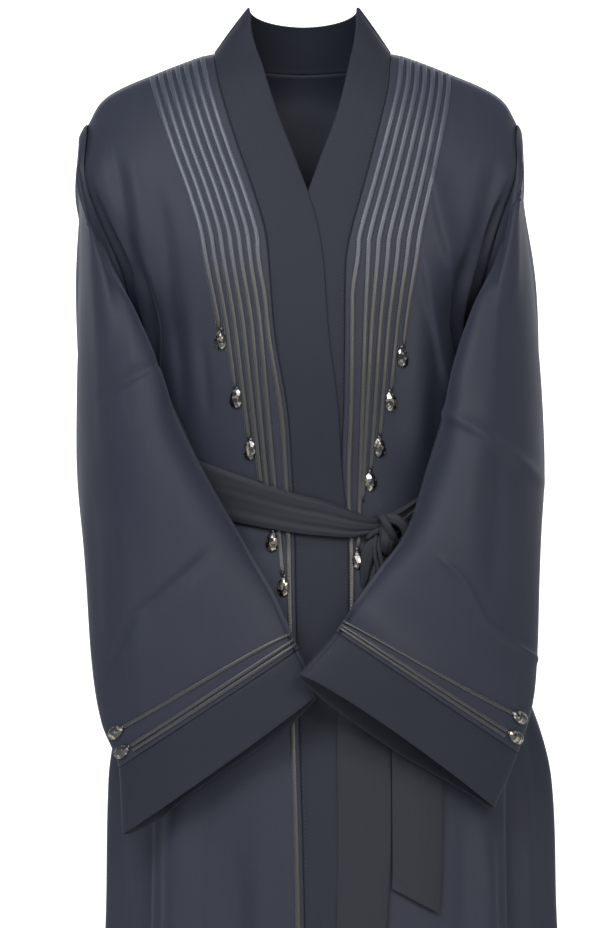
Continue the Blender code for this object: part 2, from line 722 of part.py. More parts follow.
def blob(name, centre, axes, sizes, squeeze):
    """A soft rounded lump, squeezed at its waist, of folded cloth."""
    shape = bmesh.new()
    bmesh.ops.create_icosphere(shape, subdivisions=2, radius=1)
    for vertex in shape.verts:
        place = vertex.co.copy()
        waist = 1 - squeeze * (1 - min(1, abs(place.z) * 2.2))
        offset = Vector((place.x * sizes[0] * waist, place.y * sizes[1] * waist, place.z * sizes[2]))
        vertex.co = centre + axes[0] * offset.x + axes[1] * offset.y + axes[2] * offset.z
    finish_mesh(name, shape, BAND_CREPE, 0.75)


def tilted_axes(degrees):
    """Axes in the front plane, turned about the line of sight."""
    turn = radians(degrees)
    return Vector((cos(turn), 0, sin(turn))), Vector((0, 1, 0)), Vector((-sin(turn), 0, cos(turn)))


def make_knot():
    base = on_front(KNOT_X, KNOT_Z, SASH_OUT, False)
    half_depth = 8
    knot = Vector((KNOT_X + 2, base.y - half_depth - 0.6, KNOT_Z))
    blob("knot", knot, tilted_axes(-14), (10, half_depth, 19), 0.12)
    beside = on_front(KNOT_X - 13.5, KNOT_Z + 7, SASH_OUT + 1.8, False)
    loop = Vector((KNOT_X - 13.5, beside.y - 5.5, KNOT_Z + 7))
    blob("knot_loop", loop, tilted_axes(10), (4.6, 5.5, 14), 0.0)
    leaf = []
    for share in spread(0, 1, 7):
        height = -478 - 34 * share
        width = 3 + 11 * sin(pi * (0.12 + 0.80 * share))
        middle = 66 - 8 * share
        leaf.append([on_front(middle + side * width / 2, height, 6.9 + 1.2 * share, False)
                     for side in (-1, -0.33, 0.33, 1)])
    wall("knot_leaf", leaf, CLOTH, BAND_CREPE, outward=Vector((0, -1, 0)))


def make_tail(name, rows, count, slant):
    grid = []
    for height in spread(rows[0].height, rows[-1].height, count):
        middle = read(rows, "height", "middle", height)
        width = read(rows, "height", "width", height)
        share = smooth(rows[0].height, rows[0].height - 60, height)
        line = []
        for across in (-1, -0.5, 0, 0.5, 1):
            x = middle + across * width / 2
            fall = slant * across * smooth(rows[-1].height + 60, rows[-1].height, height)
            ripple = 1.3 * (1 - abs(across)) * share
            line.append(on_front(x, height - fall, 5.0 + ripple, False))
        grid.append(line)
    wall(name, grid, CLOTH, BAND_CREPE, outward=Vector((0, -1, 0)))


for old in list(bpy.data.objects):
    bpy.data.objects.remove(old)
robe = bpy.data.objects.new("robe", None)
bpy.context.collection.objects.link(robe)
make_back()
make_fronts()
make_bands()
make_sleeves()
make_chest_cords()
make_sash()
make_knot()
make_tail("sash_tail_long", TAIL_LONG, 16, 2)
make_tail("sash_tail_short", TAIL_SHORT, 12, 12)
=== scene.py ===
"""Kimono abaya: the looks of a long crossed robe with satin cords, cut stones and a tied sash.

Lengths in the tables are in millimetres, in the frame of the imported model: the origin is the
middle of the neck at the side neck points, +Z up and the front towards -Y.  "right" and "left"
are the wearer's.  Every piece of cloth is a fine grid laid on the robe's worn form, with its
folds, press marks and seams in the mesh and its weave in the material.
"""
import logging
from dataclasses import astuple, dataclass, field, fields
from enum import Enum
from math import ceil, cos, pi, radians, sin
from typing import Callable, Optional, Sequence

import bmesh
import bpy
import numpy as np
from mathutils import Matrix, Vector

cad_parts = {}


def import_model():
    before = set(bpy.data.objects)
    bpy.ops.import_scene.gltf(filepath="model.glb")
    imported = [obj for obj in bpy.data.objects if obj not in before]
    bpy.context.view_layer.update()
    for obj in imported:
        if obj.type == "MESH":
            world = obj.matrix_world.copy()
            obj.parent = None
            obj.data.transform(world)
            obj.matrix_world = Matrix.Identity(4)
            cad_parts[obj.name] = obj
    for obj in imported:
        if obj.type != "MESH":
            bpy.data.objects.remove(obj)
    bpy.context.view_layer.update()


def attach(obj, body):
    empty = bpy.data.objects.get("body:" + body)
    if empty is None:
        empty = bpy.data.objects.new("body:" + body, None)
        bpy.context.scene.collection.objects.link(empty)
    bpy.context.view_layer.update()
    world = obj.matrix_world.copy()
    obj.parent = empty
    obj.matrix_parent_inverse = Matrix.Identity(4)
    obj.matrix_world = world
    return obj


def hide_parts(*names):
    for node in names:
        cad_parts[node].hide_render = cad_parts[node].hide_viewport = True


LOG = logging.getLogger("kimono_abaya")

MM = 0.001
ROBE_LENGTH = 1420.0
SEAM = 0.15
CREPE_WALL = 1.4
BAND_WALL = 2.0
ROUNDNESS = 2.4
SHOULDER_RADIUS = 75.0
NECK_HALF = 87.0
NECK_MIDDLE = -2.5
NECK_DIP = 15.0
NECK_STAND = 46.0
ARMHOLE_TOP, ARMHOLE_BOTTOM = -69.0, -270.0
ARMHOLE_HALF_DEPTH = 55.0
OVERLAP_LIFT = 2.6
CUFF_SEAM_RING = 10.0
CUFF_EDGE_RING = 11.0
SLEEVE_CLEARANCE = 6.0
SKIRT_FOLDS = 5.0
EASING_STEPS = (-30, -20, -10, 0, 10, 20, 30)
UNDERARM_REACH = 30.0
LAYERS_APART = 20.0
BACK_LAYER_SWELL = 15.0
BACK_LAYER_DROP = 13.0
FRONT_LAYER_LEAN = 21.0
SASH_OUT, SASH_OUT_BEHIND = 8.8, 4.2
LAST_CORD_OFF_SEAM, LAST_CORD_OFF_EDGE = 7.0, 3.0
WELD_DISTANCE = 1e-7
RIM_SHARE, RIM_ANGLE = 0.42, radians(62)

# Trim: a stitch's half length and rise as shares of its pitch and thread, the cords' sections in
# millimetres, and where the cuff's cords and stones sit round its rings.
STITCH_REACH = 0.36
STITCH_LIFT = 0.12
CORD_THICKNESS = 1.6
CHEST_CORD_WIDTH = 4.9
CUFF_CORD_WIDTH = 3.3
CORD_OFF_CUFF_SEAM = 0.02
CUFF_CORD_TURNS = (0.16, 2.52)
CUFF_STONE_TURNS = {1: 2.66, 2: 2.72}
STONE_AHEAD_TURN = 2.4
STONE_LENGTH, STONE_WIDTH, STONE_HEIGHT = 18.0, 10.0, 3.8


class Face(Enum):
    """The front or the back of the robe's body."""

    FRONT = -1
    BACK = 1


class Side(Enum):
    """The wearer's right or left side, with its name in the pieces."""

    RIGHT = -1
    LEFT = 1

    @property
    def word(self) -> str:
        """The side's name in the names of pieces."""
        return "right" if self is Side.RIGHT else "left"


class Hold(Enum):
    """How a cut of cloth is held once it is made up."""

    DRAPED = "draped"
    HUNG = "hung"
    FOLDED = "folded"
    GATHERED = "gathered"


@dataclass(frozen=True)
class Level:
    """The worn body at one height: half width, depth in front and behind, and its middle."""

    height: float
    half_width: float
    front: float
    behind: float
    middle: float


@dataclass(frozen=True)
class Ridge:
    """The shoulder line's height at a distance from the middle of the neck."""

    distance: float
    height: float


@dataclass(frozen=True)
class BandRow:
    """The seam and the free edge of a front band."""

    seam_x: float
    seam_z: float
    edge_x: float
    edge_z: float


@dataclass(frozen=True)
class SleeveRing:
    """A ring of a sleeve: overarm fold, underarm edge, and half its depth front to back."""

    over_x: float
    over_y: float
    over_z: float
    under_x: float
    under_y: float
    under_z: float
    half_depth: float
    place: float = 0.0


@dataclass(frozen=True)
class SashRow:
    """The sash's top and bottom edge at an angle round the body, from the wearer's left."""

    angle: float
    top: float
    bottom: float


@dataclass(frozen=True)
class TailRow:
    """A sash tail's middle and width at a height."""

    height: float
    middle: float
    width: float


@dataclass(frozen=True)
class Fold:
    """A soft fold down the body: its angle round it, half spread in degrees, depth and reach."""

    angle: float
    spread: float
    depth: float
    top: float
    bottom: float


@dataclass(frozen=True)
class CordEnd:
    """Where a chest cord ends in its stone, and whether the stone shows beside the sash."""

    x: float
    z: float
    stone_shows: bool


@dataclass(frozen=True)
class CuffCord:
    """A cord above the cuff band: how far up it lies at its underarm and overarm ends."""

    under: float
    over: float
    stone: bool


@dataclass(frozen=True)
class Crease:
    """A line pressed or gathered into cloth, seen from the front, between two points.

    A ridge has positive rise.  Its near side falls away over width, its far side over width
    times skew, and bow bends its middle sideways.
    """

    x1: float
    z1: float
    x2: float
    z2: float
    rise: float
    width: float
    skew: float = 1.0
    bow: float = 0.0


BODY = (
    Level(60, 209, 56, 88, -3), Level(0, 209, 60, 88, -3), Level(-69, 209, 68, 86, -3),
    Level(-120, 208, 82, 84, -5), Level(-160, 195, 94, 93, -5), Level(-219, 174, 105, 98, -1),
    Level(-270, 164, 110, 100, 0), Level(-310, 167, 111, 100, 1), Level(-360, 164, 107, 98, 3),
    Level(-430, 149, 100, 95, 8), Level(-475, 149, 102, 97, 11), Level(-560, 172, 116, 112, 16),
    Level(-640, 200, 129, 125, 21), Level(-720, 209, 139, 134, 24), Level(-850, 212, 147, 140, 25),
    Level(-1150, 230, 157, 148, 30), Level(-ROBE_LENGTH, 250, 166, 156, 32),
)
SHOULDER = (
    Ridge(0, 30), Ridge(87, 0), Ridge(100, -3), Ridge(147, -21), Ridge(181, -36),
    Ridge(198, -49), Ridge(209, -69), Ridge(230, -110),
)
BAND_ROWS = {
    Side.RIGHT: (
        BandRow(-89, 0, -55, 46), BandRow(-88, -10, -52, 20), BandRow(-82, -38, -42, -12),
        BandRow(-65, -93, -26, -62), BandRow(-49, -139, -7, -112), BandRow(-38, -177, 10, -160),
        BandRow(-35, -201, 17, -198), BandRow(-29, -275, 23, -275), BandRow(-17, -348, 32, -348),
        BandRow(-13, -400, 35, -400), BandRow(-10, -470, 41, -470), BandRow(-8, -568, 42, -568),
        BandRow(-1, -818, 48, -818), BandRow(8, -ROBE_LENGTH, 58, -ROBE_LENGTH),
    ),
    Side.LEFT: (
        BandRow(84, 0, 51, 46), BandRow(83, -10, 49, 20), BandRow(80, -38, 42, -14),
        BandRow(68, -88, 30, -62), BandRow(56, -133, 13, -108), BandRow(44, -177, -4, -158),
        BandRow(39, -206, -11, -200), BandRow(38, -275, -12, -275), BandRow(37, -348, -13, -348),
        BandRow(35, -400, -15, -400), BandRow(35, -470, -15, -470), BandRow(36, -568, -14, -568),
        BandRow(40, -818, -10, -818), BandRow(46, -ROBE_LENGTH, -4, -ROBE_LENGTH),
    ),
}
SLEEVE_RINGS = {
    Side.RIGHT: (
        SleeveRing(-212, 0, -69, -158, 0, -270, 55), SleeveRing(-219, 0, -80, -168, -8, -284, 58),
        SleeveRing(-219, -2, -100, -164, -33, -299, 64), SleeveRing(-218, -8, -150, -148, -66, -313, 73),
        SleeveRing(-220, -20, -230, -135, -90, -333, 77), SleeveRing(-222, -36, -330, -122, -102, -358, 76),
        SleeveRing(-219, -56, -410, -103, -115, -396, 69), SleeveRing(-213, -80, -500, -78, -129, -441, 56),
        SleeveRing(-205, -102, -585, -52, -142, -486, 42), SleeveRing(-195, -113, -646, -29, -152, -525, 32),
        SleeveRing(-178, -122, -690, -6, -163, -576, 23), SleeveRing(-175, -125, -744, 14, -164, -616, 20),
    ),
    Side.LEFT: (
        SleeveRing(206, 0, -69, 157, 0, -270, 55), SleeveRing(211, 0, -80, 167, -8, -284, 58),
        SleeveRing(210, -2, -100, 164, -33, -299, 64), SleeveRing(212, -8, -150, 150, -66, -313, 73),
        SleeveRing(222, -20, -230, 140, -91, -334, 77), SleeveRing(230, -36, -330, 131, -104, -362, 76),
        SleeveRing(230, -56, -410, 116, -121, -404, 69), SleeveRing(226, -82, -500, 97, -142, -464, 56),
        SleeveRing(222, -102, -585, 71, -154, -500, 42), SleeveRing(217, -113, -632, 48, -164, -531, 32),
        SleeveRing(203, -122, -676, 29, -188, -558, 23), SleeveRing(182, -127, -722, -6, -200, -599, 20),
    ),
}
SASH_ROWS = (
    SashRow(0, -398, -438), SashRow(35, -418, -440), SashRow(52, -430, -447),
    SashRow(63, -444, -468), SashRow(72, -452, -467), SashRow(81, -443, -471),
    SashRow(92, -430, -468), SashRow(134, -391, -447), SashRow(180, -372, -430),
    SashRow(270, -370, -428), SashRow(360, -398, -438),
)
TAIL_LONG = (
    TailRow(-476, 76, 13), TailRow(-520, 69, 22), TailRow(-570, 61, 38), TailRow(-626, 56, 49),
    TailRow(-760, 56, 50), TailRow(-845, 53, 47), TailRow(-985, 50, 46),
)
TAIL_SHORT = (
    TailRow(-476, 91, 12), TailRow(-540, 97, 27), TailRow(-620, 102, 42), TailRow(-700, 106, 48),
    TailRow(-800, 105, 45), TailRow(-816, 104, 44),
)
FOLDS = (
    Fold(168, 9, -5, -110, -380), Fold(152, 8, -4, -150, -400), Fold(12, 9, -5, -110, -380),
    Fold(29, 8, -4, -150, -400), Fold(215, 12, -5, -90, -400), Fold(325, 12, -5, -90, -400),
    Fold(168, 11, 5, -600, -1500), Fold(148, 9, -5, -640, -1500), Fold(129, 10, 6, -660, -1500),
    Fold(112, 8, -5, -720, -1500), Fold(50, 8, 5, -700, -1500), Fold(33, 9, -6, -640, -1500),
    Fold(13, 11, 5, -600, -1500), Fold(348, 11, -6, -620, -1500), Fold(326, 12, 8, -560, -1500),
    Fold(303, 11, -7, -640, -1500), Fold(281, 12, 7, -580, -1500), Fold(258, 11, -7, -640, -1500),
    Fold(236, 12, 8, -570, -1500), Fold(213, 11, -6, -620, -1500), Fold(193, 10, 5, -600, -1500),
)
CORD_ENDS = {
    Side.RIGHT: (
        CordEnd(-84, -281, True), CordEnd(-69.5, -337, True), CordEnd(-56.5, -386, True),
        CordEnd(-44.5, -432, False), CordEnd(-36.5, -475, True), CordEnd(-25, -518, True),
    ),
    Side.LEFT: (
        CordEnd(96, -298, True), CordEnd(85, -340, True), CordEnd(74.5, -384, True),
        CordEnd(65.5, -417, True), CordEnd(57, -446, False), CordEnd(51.5, -492, True),
    ),
}
# How far each chest cord eases sideways on the cloth below the bend, outermost first.
CORD_EASE = {
    Side.RIGHT: (4.0, 4.0, 4.0, 4.0, 5.0, 4.5, 1.0),
    Side.LEFT: (-3.5, -3.5, -3.5, -3.0, -2.5, -1.0, 0.0),
}
# x of the outermost cord and the step to the next, at the shoulder seam and at the bend.
CORD_STARTS = {Side.RIGHT: (-149, 8.2, -98, 8.7), Side.LEFT: (138, -7.4, 109, -9.6)}
CUFF_CORDS = (CuffCord(15, 30, True), CuffCord(9.5, 11, True), CuffCord(5, 6, False))
CUFF_RING_PITCH_UNDER, CUFF_RING_PITCH_OVER = 53.0, 47.0

# Soft hollows and ridges beside the armholes, and the drag towards the sash.
CHEST_CREASES = (
    Crease(-186, -88, -166, -215, -3.6, 9, 1.0, 2), Crease(-170, -100, -152, -270, 2.6, 11, 0.8, 3),
    Crease(-143, -140, -129, -258, -3.0, 8, 1.2, 3), Crease(-150, -250, -138, -340, -2.6, 10, 1.0, 0),
    Crease(-127, -256, -116, -345, -2.2, 6, 1.4, 1), Crease(-111, -236, -105, -350, 1.5, 8, 1.0, 0),
    Crease(-98, -284, -92, -352, -1.2, 4, 1.2, 0), Crease(-118, -60, -112, -180, -1.2, 14, 1.0, 0),
    Crease(188, -100, 170, -190, -3.4, 10, 1.0, -2), Crease(121, -118, 142, -212, 4.2, 3.4, 4.2, -3),
    Crease(150, -205, 148, -275, -4.0, 13, 1.0, 0), Crease(113, -200, 139, -330, 4.4, 3.4, 4.2, -3),
    Crease(110, -250, 106, -400, 5.0, 15, 1.0, 0), Crease(128, -290, 122, -390, -2.0, 9, 1.0, 0),
    Crease(60, -420, 82, -462, 1.4, 8, 1.0, 0), Crease(-60, -486, 60, -472, -1.0, 9, 1.0, 0),
)
SLEEVE_CREASES = {
    Side.RIGHT: (
        Crease(-204, -170, -188, -400, 3.0, 9, 1.4, 2), Crease(-196, -130, -176, -300, -2.6, 9, 1.0, 3),
        Crease(-184, -180, -162, -330, 1.8, 10, 1.0, 2), Crease(-190, -336, -142, -306, -4.4, 3.8, 2.0, 2),
        Crease(-181, -430, -165, -575, 2.2, 9, 1.2, 2), Crease(-165, -560, -151, -668, 1.8, 8, 1.3, 0),
        Crease(-96, -486, -168, -546, -4.0, 3.8, 2.4, 2), Crease(-166, -543, -188, -590, -4.0, 3.8, 2.0, 2),
        Crease(-206, -440, -198, -600, -2.2, 10, 1.0, 0), Crease(-140, -360, -120, -500, -1.2, 20, 1.0, 0),
    ),
    Side.LEFT: (
        Crease(202, -104, 202, -236, 3.0, 8, 0.7, 0), Crease(192, -120, 176, -240, -3.0, 7, 1.0, -2),
        Crease(180, -200, 136, -400, 2.6, 10, 1.0, -3), Crease(196, -240, 184, -470, -2.4, 12, 1.0, 2),
        Crease(130, -350, 226, -418, 4.2, 3.8, 2.0, 4), Crease(128, -488, 160, -528, 2.8, 4, 0.6, 3),
        Crease(158, -526, 173, -552, 2.8, 4, 0.6, 0), Crease(172, -551, 226, -590, 4.0, 3.8, 0.6, 0),
        Crease(182, -380, 178, -520, -2.2, 7, 1.6, 2), Crease(160, -380, 158, -520, 1.6, 14, 1.0, 0),
    ),
}


def smooth(start: float, end: float, at: np.ndarray) -> np.ndarray:
    """0 before start and 1 after end, with a soft change between."""
    share = np.clip((np.asarray(at, float) - start) / (end - start), 0, 1)
    return share * share * (3 - 2 * share)


def unit(vectors: np.ndarray) -> np.ndarray:
    """The vectors, each made one long."""
    return vectors / np.maximum(np.linalg.norm(vectors, axis=-1, keepdims=True), 1e-9)


def stack(x: np.ndarray, y: np.ndarray, z: np.ndarray) -> np.ndarray:
    """Points from their three coordinates."""
    return np.stack(np.broadcast_arrays(x, y, z), axis=-1).astype(float)


class Rows:
    """A table of rows, read between them on a smooth curve."""

    def __init__(self, rows: Sequence[object], key: str) -> None:
        """Keep each column as an array, in rising order of the key.

        Args:
            rows: the dataclass rows.
            key: the column that the table is read by.
        """
        columns = {item.name: np.array([getattr(row, item.name) for row in rows], float)
                   for item in fields(rows[0])}
        if columns[key][0] > columns[key][-1]:
            columns = {name: values[::-1] for name, values in columns.items()}
        self.keys = columns[key]
        self.columns = columns

    def read(self, column: str, at: np.ndarray) -> np.ndarray:
        """Values of a column.

        Args:
            column: the column's name.
            at: where the key column is.

        Returns:
            The values there, on a cubic through the rows.
        """
        keys, values = self.keys, self.columns[column]
        at = np.clip(np.asarray(at, float), keys[0], keys[-1])
        last = len(keys) - 1
        left = np.clip(np.searchsorted(keys, at, side="right") - 1, 0, last - 1)
        low = np.maximum(np.arange(last + 1) - 1, 0)
        high = np.minimum(np.arange(last + 1) + 1, last)
        slopes = (values[high] - values[low]) / (keys[high] - keys[low])
        span = keys[left + 1] - keys[left]
        share = (at - keys[left]) / span
        rise = values[left + 1] - values[left]
        bend = (slopes[left] * span - rise) * (1 - share) - (slopes[left + 1] * span - rise) * share
        return values[left] + rise * share + share * (1 - share) * bend


class Creases:
    """Pressed and gathered lines that lift or sink the cloth seen from the front."""

    def __init__(self, creases: Sequence[Crease]) -> None:
        """Keep the creases.

        Args:
            creases: the lines, in millimetres.
        """
        self.creases = creases

    def lift(self, points: np.ndarray) -> np.ndarray:
        """How far the creases move each point out.

        Args:
            points: points on the cloth.

        Returns:
            The rise of each, in millimetres, for cloth that faces the front.
        """
        total = np.zeros(points.shape[:-1])
        x, z = points[..., 0], points[..., 2]
        for crease in self.creases:
            along = np.array([crease.x2 - crease.x1, crease.z2 - crease.z1])
            length = float(np.hypot(*along))
            along = along / length
            run = (x - crease.x1) * along[0] + (z - crease.z1) * along[1]
            off = (x - crease.x1) * -along[1] + (z - crease.z1) * along[0]
            share = run / length
            off = off - crease.bow * np.sin(pi * np.clip(share, 0, 1))
            width = np.where(off > 0, crease.width * crease.skew, crease.width)
            fade = smooth(-0.18, 0.22, share) * smooth(1.18, 0.78, share)
            total += crease.rise * fade * np.exp(-((off / width) ** 2))
        return total


class WornForm:
    """The robe's body as it is worn: every panel, band, cord and the sash is laid on it."""

    def __init__(self) -> None:
        """Read the tables of the body, shoulder and bands."""
        self.levels = Rows(BODY, "height")
        self.ridge = Rows(SHOULDER, "distance")
        self.bands = {side: Rows(rows, "seam_z") for side, rows in BAND_ROWS.items()}
        self.creases = Creases(CHEST_CREASES)

    def shoulder_height(self, x: np.ndarray) -> np.ndarray:
        """Height of the shoulder line at x."""
        return self.ridge.read("height", np.abs(np.asarray(x, float) - NECK_MIDDLE))

    def armhole_depth(self, height: np.ndarray) -> np.ndarray:
        """Half the armhole's depth, front to back, at a height."""
        middle, half = (ARMHOLE_TOP + ARMHOLE_BOTTOM) / 2, (ARMHOLE_TOP - ARMHOLE_BOTTOM) / 2
        return ARMHOLE_HALF_DEPTH * np.sqrt(np.maximum(0, 1 - ((height - middle) / half) ** 2))

    def eased_depth(self, height: np.ndarray) -> np.ndarray:
        """The same with its ends eased, for the cloth that lies away from the armhole."""
        return sum(self.armhole_depth(height + step) for step in EASING_STEPS) / len(EASING_STEPS)

    def fold_share(self, angle: np.ndarray, height: np.ndarray, face: Face) -> np.ndarray:
        """How far the folds push the cloth out, in hundredths of its distance.

        Args:
            angle: angle on this face, 0 at the wearer's left side and pi at the right.
            height: heights.
            face: front or back.

        Returns:
            The folds' total at each point.
        """
        degrees = np.degrees(angle)
        around = degrees if face is Face.FRONT else 360 - degrees
        total = np.zeros(np.broadcast(angle, height).shape)
        for fold in FOLDS:
            away = (around - fold.angle + 180) % 360 - 180
            fade = smooth(0, 110, fold.top - height) * smooth(0, 60, height - fold.bottom)
            wave = np.cos(np.minimum(np.abs(away) / fold.spread, 1) * pi / 2) ** 2
            total = total + fold.depth * fade * wave
        return total

    def surface(self, angle: np.ndarray, height: np.ndarray, face: Face) -> np.ndarray:
        """Points of the robe's outer surface.

        Args:
            angle: angle on this face, 0 at the wearer's left side and pi at the right.
            height: heights.
            face: front or back.

        Returns:
            The points, in millimetres.
        """
        across = np.cos(angle)
        middle = self.levels.read("middle", height)
        bulge = np.maximum(0, np.sin(angle)) ** (2 / ROUNDNESS)
        away = smooth(0, 0.45, bulge)
        edge = self.armhole_depth(height) * (1 - away) + self.eased_depth(height) * away
        full = self.levels.read("front" if face is Face.FRONT else "behind", height)
        x = self.levels.read("half_width", height) * np.abs(across) ** (2 / ROUNDNESS) * np.sign(across)
        y = edge + (full - edge) * bulge
        swell = 1 + self.fold_share(angle, height, face) / 100
        below = np.maximum(0, self.shoulder_height(x + middle) - height)
        rounding = np.minimum(below / SHOULDER_RADIUS, 1)
        y = y * np.sqrt(1 - (1 - rounding) ** 2)
        return stack(x * swell + middle, face.value * (SEAM / 2 + y * swell), height)

    def angle_of(self, x: np.ndarray, height: np.ndarray) -> np.ndarray:
        """The angle at which the section of a height has this x."""
        share = (x - self.levels.read("middle", height)) / self.levels.read("half_width", height)
        share = np.clip(share, -1, 1)
        return np.arccos(np.abs(share) ** (ROUNDNESS / 2) * np.sign(share))

    def normal(self, angle: np.ndarray, height: np.ndarray, face: Face) -> np.ndarray:
        """Outward unit normals of the surface.

        Args:
            angle: angle on this face.
            height: heights.
            face: front or back.

        Returns:
            The normals.
        """
        low, high = np.maximum(angle - 0.02, 0), np.minimum(angle + 0.02, pi)
        along = self.surface(high, height, face) - self.surface(low, height, face)
        up = self.surface(angle, height + 2, face) - self.surface(angle, height - 2, face)
        return unit(np.cross(along, up) * face.value)

    def overlap_lift(self, x: np.ndarray, height: np.ndarray) -> np.ndarray:
        """How far the right front stands off the left front under it."""
        return OVERLAP_LIFT * smooth(-170, -75, x) * smooth(20, 100, -np.asarray(height, float))

    def chest_rise(self, x: np.ndarray, height: np.ndarray) -> np.ndarray:
        """How far the chest's soft creases move the fronts, and what lies on them, out."""
        points = stack(x, 0.0, height)
        return self.creases.lift(points) * smooth(-70, -130, height)

    def on_front(self, x: np.ndarray, height: np.ndarray, out: np.ndarray,
                 lifted: bool) -> tuple[np.ndarray, np.ndarray]:
        """Points over the front panels.

        Args:
            x: where they lie across the robe.
            height: heights.
            out: how far they stand off the cloth.
            lifted: whether they lie on the right front.

        Returns:
            The points and the cloth's outward normals there.
        """
        x, height = np.broadcast_arrays(np.asarray(x, float), np.asarray(height, float))
        angle = self.angle_of(x, height)
        normal = self.normal(angle, height, Face.FRONT)
        rise = out + self.chest_rise(x, height) + (self.overlap_lift(x, height) if lifted else 0)
        return self.surface(angle, height, Face.FRONT) + normal * np.asarray(rise)[..., None], normal

    def neckline(self, turn: np.ndarray) -> tuple[np.ndarray, np.ndarray]:
        """The back neckline from the wearer's left side neck point, 0, to the right one, pi.

        Args:
            turn: the turn round the neck.

        Returns:
            x and height of the neckline.
        """
        return NECK_HALF * np.cos(turn) + NECK_MIDDLE, -NECK_DIP * np.sin(turn)


class SleeveForm:
    """A worn sleeve: rings from the armhole to the cuff, just clear of the body."""

    def __init__(self, side: Side, form: WornForm) -> None:
        """Read the sleeve's rings.

        Args:
            side: the wearer's side.
            form: the robe's body.
        """
        rows = [SleeveRing(*astuple(row)[:-1], place=float(index))
                for index, row in enumerate(SLEEVE_RINGS[side])]
        self.side, self.form, self.rows = side, form, rows
        self.rings = Rows(rows, "place")
        self.creases = Creases(SLEEVE_CREASES[side])

    def armhole(self, turn: np.ndarray) -> np.ndarray:
        """Points of the armhole seam, on the sleeve's side of the gap."""
        middle = (ARMHOLE_TOP + ARMHOLE_BOTTOM) / 2
        height = middle - (ARMHOLE_TOP - ARMHOLE_BOTTOM) / 2 * np.cos(turn)
        levels = self.form.levels
        x = self.side.value * (levels.read("half_width", height) + 2 * SEAM) + levels.read("middle", height)
        return stack(x, -ARMHOLE_HALF_DEPTH * np.sin(turn), height)

    def clear_of_body(self, points: np.ndarray, turn: np.ndarray) -> np.ndarray:
        """Push points out from the body, so that the sleeve lies on it with its layers apart.

        Args:
            points: sleeve points.
            turn: their turn round the sleeve.

        Returns:
            The moved points.
        """
        levels = self.form.levels
        x, y, z = points[..., 0], points[..., 1], points[..., 2]
        at_sash = smooth(-345, -375, z) * smooth(-500, -475, z)
        clearance = SLEEVE_CLEARANCE + (SASH_OUT - 2) * at_sash + SKIRT_FOLDS * smooth(-560, -640, z)
        apart = LAYERS_APART * np.maximum(0, np.sin(turn))
        half = levels.read("half_width", z) + clearance
        depth = np.where(y < 0, levels.read("front", z), levels.read("behind", z)) + clearance + apart
        middle = levels.read("middle", z)
        aside = x - middle
        nearness = (np.abs(aside / half) ** ROUNDNESS + np.abs(y / depth) ** ROUNDNESS) ** (1 / ROUNDNESS)
        push = np.where(nearness < 1, 1 / np.maximum(nearness, 1e-6), 1)
        return stack(middle + aside * push, y * push, z)

    def point(self, place: np.ndarray, turn: np.ndarray) -> np.ndarray:
        """Points of the sleeve.

        Args:
            place: how far down the rings, 0 at the armhole.
            turn: turn round the ring: 0 underarm, pi / 2 front layer, pi overarm.

        Returns:
            The points, in millimetres.
        """
        place, turn = np.broadcast_arrays(np.asarray(place, float), np.asarray(turn, float))
        read = self.rings.read
        over = stack(read("over_x", place), read("over_y", place), read("over_z", place))
        under = stack(read("under_x", place), read("under_y", place), read("under_z", place))
        cosine, sine = np.cos(turn), np.sin(turn)
        points = (over + under) / 2 + (under - over) / 2 * cosine[..., None]
        points[..., 1] -= read("half_depth", place) * sine
        drop = BACK_LAYER_DROP * np.minimum(0, sine) * smooth(CUFF_SEAM_RING - 2, CUFF_EDGE_RING, place)
        points[..., 2] += drop
        armhole = self.armhole(turn)
        first = self.rows[0]
        chord = (first.over_x + first.under_x) / 2 + (first.under_x - first.over_x) / 2 * cosine
        points[..., 0] += (armhole[..., 0] - chord) * (1 - smooth(0, 4.5, place))
        behind = np.maximum(0, -sine) * np.sin(pi * np.minimum(place / 6, 1))
        points[..., 0] += BACK_LAYER_SWELL * behind * self.side.value
        lean = np.maximum(0, sine) * np.sqrt(np.maximum(0, cosine))
        lean = lean * smooth(0.3, 1.5, place) * smooth(5.8, 3.4, place)
        points[..., 0] -= FRONT_LAYER_LEAN * lean * self.side.value
        share = np.minimum(place, 1)[..., None]
        return armhole * (1 - share) + self.clear_of_body(points, turn) * share

    def frame(self, place: np.ndarray, turn: np.ndarray) -> tuple[np.ndarray, np.ndarray]:
        """Points of the front layer with their outward normals.

        Args:
            place: how far down the rings.
            turn: turn round the ring.

        Returns:
            The points and the normals.
        """
        around = self.point(place, np.asarray(turn) + 0.03) - self.point(place, np.asarray(turn) - 0.03)
        down = self.point(np.asarray(place) + 0.1, turn) - self.point(np.asarray(place) - 0.1, turn)
        normal = unit(np.cross(around, down))
        normal = np.where(normal[..., 1:2] > 0, -normal, normal)
        points = self.point(place, turn)
        return points + normal * self.creases.lift(points)[..., None], normal


